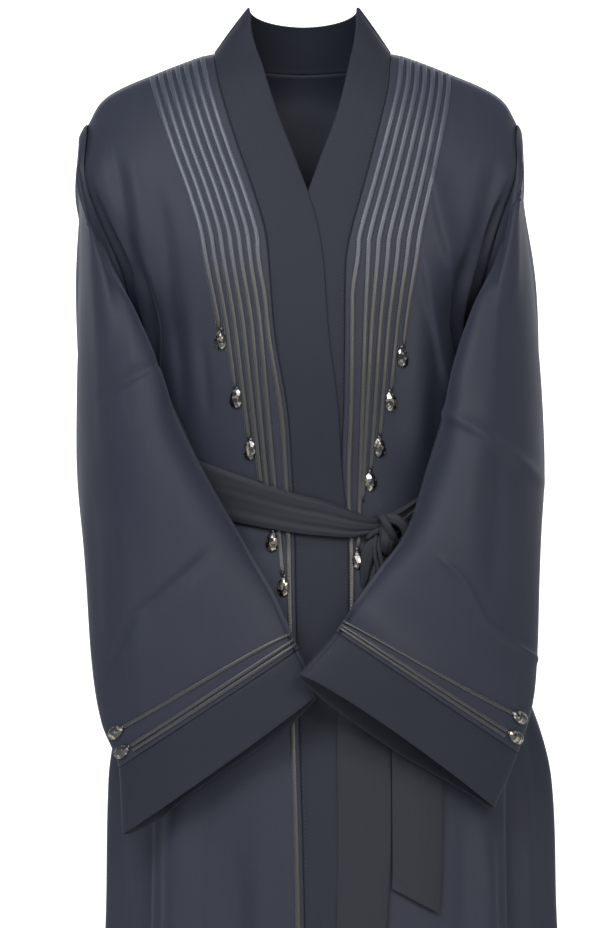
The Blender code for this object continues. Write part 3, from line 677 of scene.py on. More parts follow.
def grid_mesh(name: str, points: np.ndarray, closed: bool = False, capped: bool = False,
              flip: bool = False) -> bpy.types.Object:
    """Lay a bmesh grid on rows of points, with a UV map in metres of cloth.

    Args:
        name: the piece's name.
        points: rows by columns of points, in millimetres.
        closed: whether the last column meets the first, as round a tube.
        capped: whether the ends of a tube are filled.
        flip: whether the faces are turned over.

    Returns:
        The new object, at the origin.
    """
    if closed:
        points = np.concatenate([points, points[:, :1]], axis=1)
    rows, columns = points.shape[:2]
    points = points * MM
    across = np.linalg.norm(np.diff(points, axis=1), axis=2)
    across = np.concatenate([np.zeros((rows, 1)), np.cumsum(across, axis=1)], axis=1)
    across -= across[:, -1:] / 2
    down = np.linalg.norm(np.diff(points, axis=0), axis=2).mean(axis=1)
    down = np.concatenate([[0.0], np.cumsum(down)])
    shape = bmesh.new()
    bmesh.ops.create_grid(shape, x_segments=columns - 1, y_segments=rows - 1, size=1)
    layer = shape.loops.layers.uv.new("cloth")
    index_of = {}
    for vertex in shape.verts:
        column = round((vertex.co.x + 1) / 2 * (columns - 1))
        row = round((vertex.co.y + 1) / 2 * (rows - 1))
        index_of[vertex] = (row, column)
        vertex.co = points[row, column]
    for face in shape.faces:
        for loop in face.loops:
            row, column = index_of[loop.vert]
            loop[layer].uv = (across[row, column], down[row])
    if closed:
        bmesh.ops.remove_doubles(shape, verts=shape.verts, dist=WELD_DISTANCE)
    if capped:
        bmesh.ops.holes_fill(shape, edges=[edge for edge in shape.edges if edge.is_boundary])
    if flip:
        bmesh.ops.reverse_faces(shape, faces=shape.faces)
    return link_mesh(name, shape)


def link_mesh(name: str, shape: bmesh.types.BMesh, soft: bool = True) -> bpy.types.Object:
    """Turn a finished bmesh into an object of the scene.

    Args:
        name: the piece's name.
        shape: the bmesh, in metres.
        soft: whether its faces are shaded smooth.

    Returns:
        The new object.
    """
    mesh = bpy.data.meshes.new(name)
    shape.to_mesh(mesh)
    shape.free()
    mesh.polygons.foreach_set("use_smooth", [soft] * len(mesh.polygons))
    piece = bpy.data.objects.new(name, mesh)
    bpy.context.collection.objects.link(piece)
    return piece


def grid_normals(points: np.ndarray, closed: bool) -> np.ndarray:
    """Unit normals of rows of points, along columns crossed with rows.

    Args:
        points: rows by columns of points.
        closed: whether the columns run round.

    Returns:
        A normal for each point.
    """
    if closed:
        across = np.roll(points, -1, axis=1) - np.roll(points, 1, axis=1)
    else:
        across = np.gradient(points, axis=1)
    return unit(np.cross(across, np.gradient(points, axis=0)))


@dataclass
class Cloth:
    """A cut of cloth laid on the worn form: a fine grid given a wall."""

    name: str
    points: np.ndarray
    nodes: tuple[str, ...]
    material: bpy.types.Material
    slot: str
    wall: float = CREPE_WALL
    closed: bool = False
    outward: tuple[float, float, float] = (0.0, -1.0, 0.0)
    hold: Hold = Hold.DRAPED
    rests_on: tuple[str, ...] = ()
    relief: Optional[np.ndarray] = None
    soft_rim: bool = False
    trims: list[bpy.types.Object] = field(default_factory=list)

    def normals(self) -> np.ndarray:
        """The grid's unit normals, turned to face outwards."""
        normals = grid_normals(self.points, self.closed)
        rows, columns = self.points.shape[:2]
        if normals[rows // 2, columns // 2] @ np.array(self.outward) < 0:
            normals = -normals
        return normals

    def build(self) -> bpy.types.Object:
        """Make the piece and put it in the CAD node's place.

        Returns:
            The finished object.
        """
        normals = self.normals()
        points = self.points
        if self.relief is not None:
            points = points + normals * self.relief[..., None]
        turned = grid_normals(points, self.closed)
        rows, columns = points.shape[:2]
        flip = turned[rows // 2, columns // 2] @ normals[rows // 2, columns // 2] < 0
        piece = grid_mesh(self.name, points, self.closed, flip=bool(flip))
        thick = piece.modifiers.new("wall", "SOLIDIFY")
        thick.thickness = self.wall * MM
        thick.offset = -1
        thick.use_even_offset = False
        if self.soft_rim:
            round_rim = piece.modifiers.new("turned_edge", "BEVEL")
            round_rim.width = self.wall * RIM_SHARE * MM
            round_rim.segments = 2
            round_rim.limit_method = "ANGLE"
            round_rim.angle_limit = RIM_ANGLE
        piece.data.materials.append(self.material)
        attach(piece, "root")
        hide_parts(*self.nodes)
        return piece


def dress(piece: bpy.types.Object, material: bpy.types.Material,
          nodes: Sequence[str] = ()) -> bpy.types.Object:
    """Give a trim piece its material and its place in the frame.

    Args:
        piece: the trim.
        material: its finish.
        nodes: the CAD nodes that it stands for.

    Returns:
        The same piece.
    """
    piece.data.materials.append(material)
    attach(piece, "root")
    if nodes:
        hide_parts(*nodes)
    return piece


def round_cord(name: str, route: np.ndarray, normals: np.ndarray, width: float, height: float,
               sides: int = 10) -> bpy.types.Object:
    """A cord sewn down along a route: an oval tube with its foot on the cloth.

    Args:
        name: the piece's name.
        route: points on the cloth, in millimetres.
        normals: the cloth's outward normals there.
        width: the cord's width.
        height: how far its top stands over the cloth.
        sides: points round the tube.

    Returns:
        The new object.
    """
    ahead = unit(np.gradient(route, axis=0))
    side = unit(np.cross(ahead, normals))
    turns = 2 * pi * np.arange(sides) / sides
    taper = np.ones(len(route))
    taper[0] = taper[-1] = 0.72
    centre = route + normals * (height / 2)
    ring = (side[:, None] * (np.cos(turns)[None, :, None] * width / 2)
            + normals[:, None] * (np.sin(turns)[None, :, None] * height / 2))
    points = centre[:, None] + ring * taper[:, None, None]
    return grid_mesh(name, points, closed=True, capped=True, flip=True)


def along_route(route: np.ndarray, step: float) -> np.ndarray:
    """Evenly spaced places along a route.

    Args:
        route: points in millimetres.
        step: how far apart the places are.

    Returns:
        Places as fractional indices of the route.
    """
    run = np.concatenate([[0], np.cumsum(np.linalg.norm(np.diff(route, axis=0), axis=1))])
    count = max(2, int(run[-1] / step))
    return np.interp(np.linspace(0, run[-1], count), run, np.arange(len(route)))


def sample(values: np.ndarray, places: np.ndarray) -> np.ndarray:
    """Rows of an array at fractional indices."""
    index = np.arange(len(values))
    return np.stack([np.interp(places, index, values[:, axis]) for axis in range(values.shape[1])], axis=1)


@dataclass
class StitchLine:
    """A row of topstitches that dips into the cloth between needle holes."""

    name: str
    route: np.ndarray
    normals: np.ndarray
    pitch: float = 3.2
    thread: float = 0.55

    def build(self, material: bpy.types.Material, slot: str) -> bpy.types.Object:
        """Make every stitch of the row as one piece.

        Args:
            material: the thread's finish.
            slot: the slot name of the cloth it is sewn in; not used.

        Returns:
            The row of stitches.
        """
        places = along_route(self.route, self.pitch)
        centres = sample(self.route, places)
        normals = unit(sample(self.normals, places))
        ahead = unit(np.gradient(centres, axis=0))
        shape = bmesh.new()
        for centre, normal, forward in zip(centres, normals, ahead):
            side = np.cross(forward, normal)
            made = bmesh.ops.create_icosphere(shape, subdivisions=1, radius=1)["verts"]
            for vertex in made:
                local = vertex.co.copy()
                place = (centre + forward * (local.x * self.pitch * STITCH_REACH)
                         + side * (local.y * self.thread / 2)
                         + normal * (local.z * self.thread / 2 + self.thread * STITCH_LIFT))
                vertex.co = Vector(place * MM)
        return dress(link_mesh(self.name, shape), material)


Colour = tuple[float, float, float, float]

# The sockets of a Mix node set to colours, and the slant of a cord's plies.
MIX_FACTOR, MIX_FIRST, MIX_SECOND, MIX_RESULT = 0, 6, 7, 2
PLY_SLANT = radians(52)


class NodeBench:
    """A material's node tree with short ways to add and join its nodes."""

    def __init__(self, name: str) -> None:
        """Start a material with its Principled shader.

        Args:
            name: the material's name.
        """
        self.material = bpy.data.materials.new(name)
        self.material.use_nodes = True
        self.nodes = self.material.node_tree.nodes
        self.links = self.material.node_tree.links
        self.shader = self.nodes["Principled BSDF"]

    def add(self, kind: str, **values: object) -> bpy.types.Node:
        """Add a node.

        Args:
            kind: the node's type without its "ShaderNode" start.
            values: attributes, or inputs when they are named as an input is, with _ for a space.

        Returns:
            The node.
        """
        node = self.nodes.new("ShaderNode" + kind)
        for key, value in values.items():
            label = key.replace("_", " ")
            if label in node.inputs:
                node.inputs[label].default_value = value
            else:
                setattr(node, key, value)
        return node

    def join(self, source: bpy.types.NodeSocket, target: bpy.types.NodeSocket) -> None:
        """Link an output to an input."""
        self.links.new(source, target)

    def set(self, **values: object) -> None:
        """Set the shader's own inputs, named with _ for a space."""
        for key, value in values.items():
            self.shader.inputs[key.replace("_", " ")].default_value = value

    def coordinates(self, kind: str, scale: tuple[float, float, float],
                    turn: float = 0.0) -> bpy.types.NodeSocket:
        """Coordinates scaled and turned for a pattern.

        Args:
            kind: "UV" for the cloth's own map in metres, or "Object".
            scale: pattern repeats to the metre along each axis.
            turn: turn about the third axis, in radians.

        Returns:
            The mapped vector.
        """
        source = self.add("TexCoord")
        mapping = self.add("Mapping")
        mapping.inputs["Scale"].default_value = scale
        mapping.inputs["Rotation"].default_value = (0.0, 0.0, turn)
        self.join(source.outputs[kind], mapping.inputs["Vector"])
        return mapping.outputs["Vector"]

    def noise(self, vector: bpy.types.NodeSocket, detail: float = 2.0,
              roughness: float = 0.5) -> bpy.types.NodeSocket:
        """Noise of one repeat to the unit of the vector."""
        node = self.add("TexNoise", Scale=1.0, Detail=detail, Roughness=roughness)
        self.join(vector, node.inputs["Vector"])
        return node.outputs["Fac"]

    def remap(self, value: bpy.types.NodeSocket, low: float, high: float,
              source_low: float = 0.3, source_high: float = 0.7) -> bpy.types.NodeSocket:
        """Spread a noise's middle over a range."""
        node = self.add("MapRange")
        node.inputs["From Min"].default_value = source_low
        node.inputs["From Max"].default_value = source_high
        node.inputs["To Min"].default_value = low
        node.inputs["To Max"].default_value = high
        self.join(value, node.inputs["Value"])
        return node.outputs["Result"]

    def blend(self, share: bpy.types.NodeSocket, first: Colour, second: Colour) -> bpy.types.NodeSocket:
        """A colour between two by a share from 0 to 1."""
        node = self.add("Mix", data_type="RGBA")
        node.inputs[MIX_FIRST].default_value = first
        node.inputs[MIX_SECOND].default_value = second
        self.join(share, node.inputs[MIX_FACTOR])
        return node.outputs[MIX_RESULT]

    def shade(self, base: bpy.types.NodeSocket, share: bpy.types.NodeSocket,
              strength: float) -> bpy.types.NodeSocket:
        """Darken or lighten a colour by a grey pattern.

        Args:
            base: the colour.
            share: the pattern, from 0 to 1.
            strength: how strongly it shows.

        Returns:
            The shaded colour.
        """
        grey = self.remap(share, 1 - strength, 1 + strength, 0.25, 0.75)
        node = self.add("Mix", data_type="RGBA", blend_type="MULTIPLY")
        node.inputs[MIX_FACTOR].default_value = 1.0
        self.join(base, node.inputs[MIX_FIRST])
        self.join(grey, node.inputs[MIX_SECOND])
        return node.outputs[MIX_RESULT]

    def bump(self, height: bpy.types.NodeSocket, depth: float, strength: float,
             before: Optional[bpy.types.NodeSocket] = None) -> bpy.types.NodeSocket:
        """A bump from a height pattern, on top of an earlier one.

        Args:
            height: the pattern.
            depth: its height in metres.
            strength: how strongly it shows.
            before: the normal of an earlier bump.

        Returns:
            The bumped normal.
        """
        node = self.add("Bump", Distance=depth, Strength=strength)
        self.join(height, node.inputs["Height"])
        if before is not None:
            self.join(before, node.inputs["Normal"])
        return node.outputs["Normal"]


@dataclass(frozen=True)
class CrepeFinish:
    """Dark crepe: pebbled yarns, faint slubs along the warp and a soft nap that catches light."""

    name: str
    deep: Colour
    worn: Colour
    rough: float
    sheen: float
    sheen_tint: Colour = (0.72, 0.8, 1.0, 1.0)
    grain: float = 0.35

    def make(self) -> bpy.types.Material:
        """Build the crepe.

        Returns:
            The material.
        """
        bench = NodeBench(self.name)
        yarn = bench.noise(bench.coordinates("UV", (1500.0, 1150.0, 1.0)), 2.0, 0.6)
        pebble = bench.noise(bench.coordinates("UV", (620.0, 620.0, 1.0)), 3.0, 0.55)
        slub = bench.noise(bench.coordinates("UV", (240.0, 14.0, 1.0)), 3.0, 0.6)
        handling = bench.noise(bench.coordinates("Object", (7.0, 7.0, 4.0)), 3.0, 0.55)
        colour = bench.blend(bench.remap(handling, 0.0, 1.0), self.deep, self.worn)
        colour = bench.shade(colour, slub, 0.05)
        colour = bench.shade(colour, pebble, 0.09)
        bench.join(colour, bench.shader.inputs["Base Color"])
        rough = bench.remap(handling, self.rough - 0.05, self.rough + 0.05)
        bench.join(rough, bench.shader.inputs["Roughness"])
        normal = bench.bump(yarn, 0.00010, self.grain)
        normal = bench.bump(pebble, 0.00022, self.grain, normal)
        normal = bench.bump(slub, 0.00016, self.grain * 0.7, normal)
        bench.join(normal, bench.shader.inputs["Normal"])
        bench.set(Sheen_Weight=self.sheen, Sheen_Roughness=0.42, Sheen_Tint=self.sheen_tint,
                  Specular_IOR_Level=0.24)
        return bench.material


@dataclass(frozen=True)
class SatinCordFinish:
    """A twisted satin cord: slanted plies that shine along their length, with two colours that change with
    height; on the chest the upper one is painted light and the greyer one towards the hem painted shade.
    """

    name: str
    # The first colour is the lighter one; on the chest cords it is painted light, and the second, darker one
    # is painted shade.
    upper: Colour
    lower: Colour
    turn_from: float
    turn_to: float

    def make(self) -> bpy.types.Material:
        """Build the satin.

        Returns:
            The material.
        """
        bench = NodeBench(self.name)
        place = bench.add("TexCoord")
        split = bench.add("SeparateXYZ")
        bench.join(place.outputs["Object"], split.inputs["Vector"])
        # Painted light and shade: the colour turns from the first to the second as the height goes from
        # turn_to down to turn_from.
        share = bench.remap(split.outputs["Z"], 1.0, 0.0, self.turn_from, self.turn_to)
        colour = bench.blend(share, self.upper, self.lower)
        plies = bench.add("TexWave", wave_type="BANDS", bands_direction="X", Scale=1.0, Distortion=0.6)
        plies.inputs["Detail"].default_value = 1.0
        bench.join(bench.coordinates("UV", (130.0, 130.0, 1.0), PLY_SLANT), plies.inputs["Vector"])
        fibre = bench.noise(bench.coordinates("UV", (2600.0, 500.0, 1.0), PLY_SLANT), 2.0)
        colour = bench.shade(colour, plies.outputs["Fac"], 0.16)
        bench.join(colour, bench.shader.inputs["Base Color"])
        bench.join(bench.remap(fibre, 0.30, 0.44), bench.shader.inputs["Roughness"])
        normal = bench.bump(plies.outputs["Fac"], 0.00028, 0.4)
        normal = bench.bump(fibre, 0.00008, 0.4, normal)
        bench.join(normal, bench.shader.inputs["Normal"])
        bench.set(Sheen_Weight=0.4, Sheen_Roughness=0.3, Sheen_Tint=(0.85, 0.9, 1.0, 1.0),
                  Specular_IOR_Level=0.6, Anisotropic=0.4)
        return bench.material


@dataclass(frozen=True)
class StoneFinish:
    """Smoky cut glass on a dark foil back, with hard bright facets and painted golden glints in patches."""

    name: str
    body: Colour
    # The bright colour of the painted glints.
    flash: Colour
    metal: float
    rough: float

    def make(self) -> bpy.types.Material:
        """Build the glass.

        Returns:
            The material.
        """
        bench = NodeBench(self.name)
        # Painted glints: in patches of the noise the base turns from the dark body to the bright second
        # colour, golden on the stones, and turns metallic, standing for facets that catch the light.
        depth = bench.noise(bench.coordinates("Object", (260.0, 260.0, 260.0)), 1.0)
        share = bench.remap(depth, 0.0, 1.0, 0.535, 0.605)
        bench.join(bench.blend(share, self.body, self.flash), bench.shader.inputs["Base Color"])
        bench.join(bench.remap(share, 0.0, self.metal, 0.0, 1.0), bench.shader.inputs["Metallic"])
        scuff = bench.noise(bench.coordinates("Object", (900.0, 900.0, 900.0)), 2.0)
        bench.join(bench.remap(scuff, self.rough, self.rough + 0.05), bench.shader.inputs["Roughness"])
        bench.set(IOR=1.62, Coat_Weight=0.6, Coat_Roughness=0.03)
        return bench.material


@dataclass(frozen=True)
class ThreadFinish:
    """Sewing thread, a shade off the cloth."""

    name: str
    colour: Colour

    def make(self) -> bpy.types.Material:
        """Build the thread.

        Returns:
            The material.
        """
        bench = NodeBench(self.name)
        twist = bench.noise(bench.coordinates("Object", (3200.0, 3200.0, 1400.0)), 2.0)
        light = tuple(min(1.0, part * 1.7) for part in self.colour[:3]) + (1.0,)
        bench.join(bench.blend(bench.remap(twist, 0.0, 1.0), self.colour, light),
                   bench.shader.inputs["Base Color"])
        bench.join(bench.remap(twist, 0.42, 0.6), bench.shader.inputs["Roughness"])
        bench.set(Sheen_Weight=0.2, Sheen_Roughness=0.4)
        return bench.material


class Finishes:
    """Every finish on the robe, made once."""

    def __init__(self) -> None:
        """Make the materials."""
        self.crepe = CrepeFinish("crepe_cloth", (0.0165, 0.0195, 0.0320, 1), (0.0205, 0.0238, 0.0370, 1),
                                 0.60, 0.08).make()
        self.band = CrepeFinish("band_crepe_cloth", (0.0110, 0.0134, 0.0220, 1), (0.0138, 0.0162, 0.0256, 1),
                                0.68, 0.07, grain=0.28).make()
        self.sash = CrepeFinish("sash_crepe_cloth", (0.0130, 0.0148, 0.0212, 1), (0.0165, 0.0182, 0.0250, 1),
                                0.64, 0.08, grain=0.30).make()
        # Painted light on the chest cords: their lighter, bluer first colour above z -0.19 m stands for the
        # light on the shoulders, and their greyer second colour below z -0.225 m is painted shade towards
        # the hem. The cuff's cords are a shade lighter below z -0.70 m than above z -0.62 m.
        self.cord = SatinCordFinish("satin_cord_plies", (0.032, 0.038, 0.060, 1),
                                    (0.027, 0.026, 0.028, 1), -0.225, -0.190).make()
        self.cuff_cord = SatinCordFinish("satin_cuff_cord_plies", (0.028, 0.028, 0.032, 1),
                                         (0.024, 0.024, 0.028, 1), -0.62, -0.70).make()
        # The stones' and the bead's second, brighter colour paints glints on them.
        self.stone = StoneFinish("smoky_cut_glass", (0.004, 0.005, 0.007, 1), (0.38, 0.33, 0.26, 1),
                                 0.9, 0.04).make()
        self.bead = StoneFinish("seed_bead_glass", (0.03, 0.032, 0.04, 1), (0.14, 0.14, 0.17, 1),
                                0.3, 0.10).make()
        self.thread = ThreadFinish("sewing_thread", (0.012, 0.014, 0.019, 1)).make()


def panel_heights(tops: np.ndarray, rows: int) -> np.ndarray:
    """Heights of a panel's points, from the hem to the top of each column.

    Args:
        tops: the top of each column.
        rows: how many rows there are.

    Returns:
        Rows by columns of heights, closer together near the shoulder.
    """
    share = np.linspace(0, 1, rows)[:, None]
    eased = share + 0.10 * np.sin(pi * share)
    eased = np.where(share < 1, eased, 1.0)
    return -ROBE_LENGTH + (tops[None, :] + ROBE_LENGTH) * eased


@dataclass
class BodyPanels:
    """The back and the two fronts, cut from shoulder to hem with side seams."""

    form: WornForm
    finishes: Finishes
    rows: int = 236
    front_columns: int = 116
    back_columns: int = 124
    hem_turn: float = 22.0

    def shoulder_tops(self, angle_at: Callable[[np.ndarray], np.ndarray], face: Face,
                      count: int) -> np.ndarray:
        """The height at which each column meets the shoulder line.

        Args:
            angle_at: the columns' angles at their heights.
            face: front or back.
            count: how many columns there are.

        Returns:
            A height for each column.
        """
        tops = np.full(count, -30.0)
        for _ in range(30):
            x = self.form.surface(angle_at(tops), tops, face)[..., 0]
            tops = (tops + self.form.shoulder_height(x)) / 2
        return np.maximum(tops, ARMHOLE_TOP)

    def hem_relief(self, points: np.ndarray) -> np.ndarray:
        """The turned hem's edge, which shows as a shallow step and its blind stitches."""
        above = points[..., 2] + ROBE_LENGTH - self.hem_turn
        return -0.5 * np.exp(-(above / 2.2) ** 2) + 0.25 * smooth(0, -6, above)

    def pull_relief(self, points: np.ndarray) -> np.ndarray:
        """Small drags and dents of hung cloth that no fold table gives."""
        x, y, z = points[..., 0], points[..., 1], points[..., 2]
        lower = smooth(-520, -760, z)
        sway = np.sin(x / 31 + y / 47 + z / 410) * np.sin(z / 240 + x / 120)
        ripple = np.sin(x / 13.5 + 1.4 * np.sin(z / 330) + y / 22) * smooth(-470, -560, z)
        gathered = ripple * smooth(-760, -560, z) * 0.9
        above = np.sin(x / 12.5 + y / 20 + 0.8 * np.sin(z / 70))
        above = above * smooth(-330, -400, z) * smooth(-480, -440, z)
        return 1.1 * sway * lower + gathered + 0.7 * above

    def front(self, side: Side) -> Cloth:
        """One front, from its band's seam to the side seam.

        Args:
            side: the wearer's side.

        Returns:
            The cut of cloth.
        """
        form, band, count = self.form, self.form.bands[side], self.front_columns
        share = np.linspace(0, 1, count)

        def angle_at(height: np.ndarray) -> np.ndarray:
            """The columns' angles at some heights, from the band's seam to the side seam."""
            seam = form.angle_of(band.read("seam_x", height) + side.value * SEAM, height)
            return seam + (pi - seam) * share if side is Side.RIGHT else seam * (1 - share)

        tops = self.shoulder_tops(angle_at, Face.FRONT, count)
        height = panel_heights(tops, self.rows)
        angle = angle_at(height)
        points = form.surface(angle, height, Face.FRONT)
        rise = form.chest_rise(points[..., 0], height) + self.pull_relief(points) * self.edge_fade(share)
        rise = rise + self.hem_relief(points)
        if side is Side.RIGHT:
            rise = rise + form.overlap_lift(points[..., 0], height)
        points = points + form.normal(angle, height, Face.FRONT) * rise[..., None]
        points[..., 1] = np.minimum(points[..., 1], -SEAM / 2)
        name = f"front_{side.word}"
        return Cloth(f"{name}_cloth", points, (name,), self.finishes.crepe, "crepe", hold=Hold.HUNG)

    def edge_fade(self, share: np.ndarray) -> np.ndarray:
        """Fades small drags out towards a panel's seams."""
        return (smooth(0, 0.12, share) * smooth(1, 0.88, share))[None, :]

    def back(self) -> Cloth:
        """The back, from side seam to side seam.

        Returns:
            The cut of cloth.
        """
        form, count = self.form, self.back_columns
        share = np.linspace(0, 1, count)
        side_share = 7 / 26
        turn = pi * np.clip((share - side_share) / (1 - 2 * side_share), 0, 1)
        neck_x, neck_height = form.neckline(turn)

        def angle_at(height: np.ndarray) -> np.ndarray:
            """The columns' angles at some heights, from one side seam to the other."""
            neck = form.angle_of(neck_x + 0 * height, height)
            left = neck * share / side_share
            right = pi - (pi - neck) * (1 - share) / side_share
            return np.where(share < side_share, left, np.where(share > 1 - side_share, right, neck))

        tops = self.shoulder_tops(angle_at, Face.BACK, count)
        inside = (share > side_share) & (share < 1 - side_share)
        tops = np.where(inside, neck_height + SEAM + 0.3, tops)
        height = panel_heights(tops, self.rows)
        angle = angle_at(height)
        points = form.surface(angle, height, Face.BACK)
        blades = 2.0 * np.exp(-((np.abs(points[..., 0]) - 95) / 30) ** 2)
        blades = blades * np.exp(-((height + 190) / 60) ** 2)
        rise = self.pull_relief(points) * self.edge_fade(share) + self.hem_relief(points) + blades
        points = points + form.normal(angle, height, Face.BACK) * rise[..., None]
        points[..., 1] = np.maximum(points[..., 1], SEAM / 2)
        return Cloth("back_cloth", points, ("back",), self.finishes.crepe, "crepe", hold=Hold.HUNG,
                     outward=(0, 1, 0))

    def build(self) -> list[bpy.types.Object]:
        """Build the back and both fronts.

        Returns:
            The finished panels.
        """
        return [self.back().build(), self.front(Side.RIGHT).build(), self.front(Side.LEFT).build()]


@dataclass
class CrossedBands:
    """The doubled band: round the back of the neck and down both fronts to the hem."""

    form: WornForm
    finishes: Finishes
    rows: int = 260
    columns: int = 14
    neck_columns: int = 60

    def across(self) -> np.ndarray:
        """Shares across the band, closer together at its seam and edge."""
        share = np.linspace(0, 1, self.columns)
        return share - 0.06 * np.sin(2 * pi * share)

    def crown(self) -> np.ndarray:
        """The band's section: pressed down at its seam, softly full between, rolled at its edge."""
        share = self.across()
        return 0.5 * np.sin(pi * share) - 0.5 * np.exp(-((share / 0.05) ** 2)) - 0.4 * np.exp(
            -(((1 - share) / 0.04) ** 2))

    def front_points(self, side: Side) -> np.ndarray:
        """Points of a front band, seam to free edge, from the hem to the side neck point."""
        form, band = self.form, self.form.bands[side]
        share = np.linspace(0, 1, self.rows)
        height = -ROBE_LENGTH + ROBE_LENGTH * (share + 0.12 * np.sin(pi * share))
        height[-1] = 0.0
        seam_x, seam_z = band.read("seam_x", height), height
        edge_x, edge_z = band.read("edge_x", height), band.read("edge_z", height)
        seam_y = form.surface(form.angle_of(seam_x, seam_z), seam_z, Face.FRONT)[..., 1]
        across = self.across()[None, :]
        x = seam_x[:, None] + (edge_x - seam_x)[:, None] * across
        z = seam_z[:, None] + (edge_z - seam_z)[:, None] * across
        angle = form.angle_of(x, z)
        points = form.surface(angle, z, Face.FRONT)
        points[..., 1] = np.minimum(points[..., 1], seam_y[:, None] * (1 - 0.25 * across))
        to_neck_band = -SEAM / 2 - points[-1:, :, 1]
        points[..., 1] += to_neck_band * smooth(-30, 0, height)[:, None]
        normal = form.normal(angle, z, Face.FRONT)
        rise = form.chest_rise(x, z)
        if side is Side.RIGHT:
            rise = rise + form.overlap_lift(x, z) * smooth(-20, -50, z)
        return points + normal * (rise * smooth(-20, -60, z))[..., None]

    def neck_points(self) -> np.ndarray:
        """Points of the band round the back of the neck, across it first."""
        form = self.form
        turn = np.linspace(0, pi, self.neck_columns)
        x, height = form.neckline(turn)
        seam = form.surface(form.angle_of(x, height), height, Face.BACK)
        seam[..., 1] = np.maximum(seam[..., 1], SEAM / 2)
        seam[..., 2] += SEAM
        top = seam * np.array([0.62, 0.8, 1.0]) + np.array([0, 0, NECK_STAND])
        top[..., 1] = np.maximum(top[..., 1], SEAM / 2)
        across = self.across()[None, :, None]
        return seam[:, None] * (1 - across) + top[:, None] * across

    def stitches(self, name: str, points: np.ndarray, column: int,
                 outward: tuple[float, float, float]) -> bpy.types.Object:
        """A row of topstitches that runs down the band beside its seam.

        Args:
            name: the row's name.
            points: the band's points.
            column: the column that the row follows.
            outward: a direction that the cloth's outer side faces.

        Returns:
            The row of stitches.
        """
        normals = grid_normals(points, False)
        if normals[len(points) // 2, column] @ np.array(outward) < 0:
            normals = -normals
        route = points[:, column] + normals[:, column] * 0.25
        return StitchLine(name, route, normals[:, column], pitch=4.0).build(self.finishes.thread,
                                                                            "band_crepe")

    def build(self) -> list[bpy.types.Object]:
        """Build the neck band and both front bands.

        Returns:
            The finished bands.
        """
        made = []
        for side in (Side.RIGHT, Side.LEFT):
            points = self.front_points(side)
            relief = self.crown()[None, :] * smooth(0, -45, points[..., 2])
            name = f"front_band_{side.word}"
            stitched = self.stitches(f"{name}_topstitch", points, 1, (0, -1, 0))
            made.append(Cloth(f"{name}_cloth", points, (name,), self.finishes.band, "band_crepe",
                              wall=BAND_WALL, relief=relief, soft_rim=True, hold=Hold.FOLDED,
                              trims=[stitched]).build())
        points = self.neck_points()
        relief = np.broadcast_to(self.crown()[None, :], points.shape[:2])
        stitched = self.stitches("neck_band_topstitch", points, 1, (0, 1, 0))
        made.append(Cloth("neck_band_cloth", points, ("neck_band",), self.finishes.band, "band_crepe",
                          wall=BAND_WALL, relief=relief, soft_rim=True, hold=Hold.FOLDED,
                          outward=(0, 1, 0), trims=[stitched]).build())
        return made


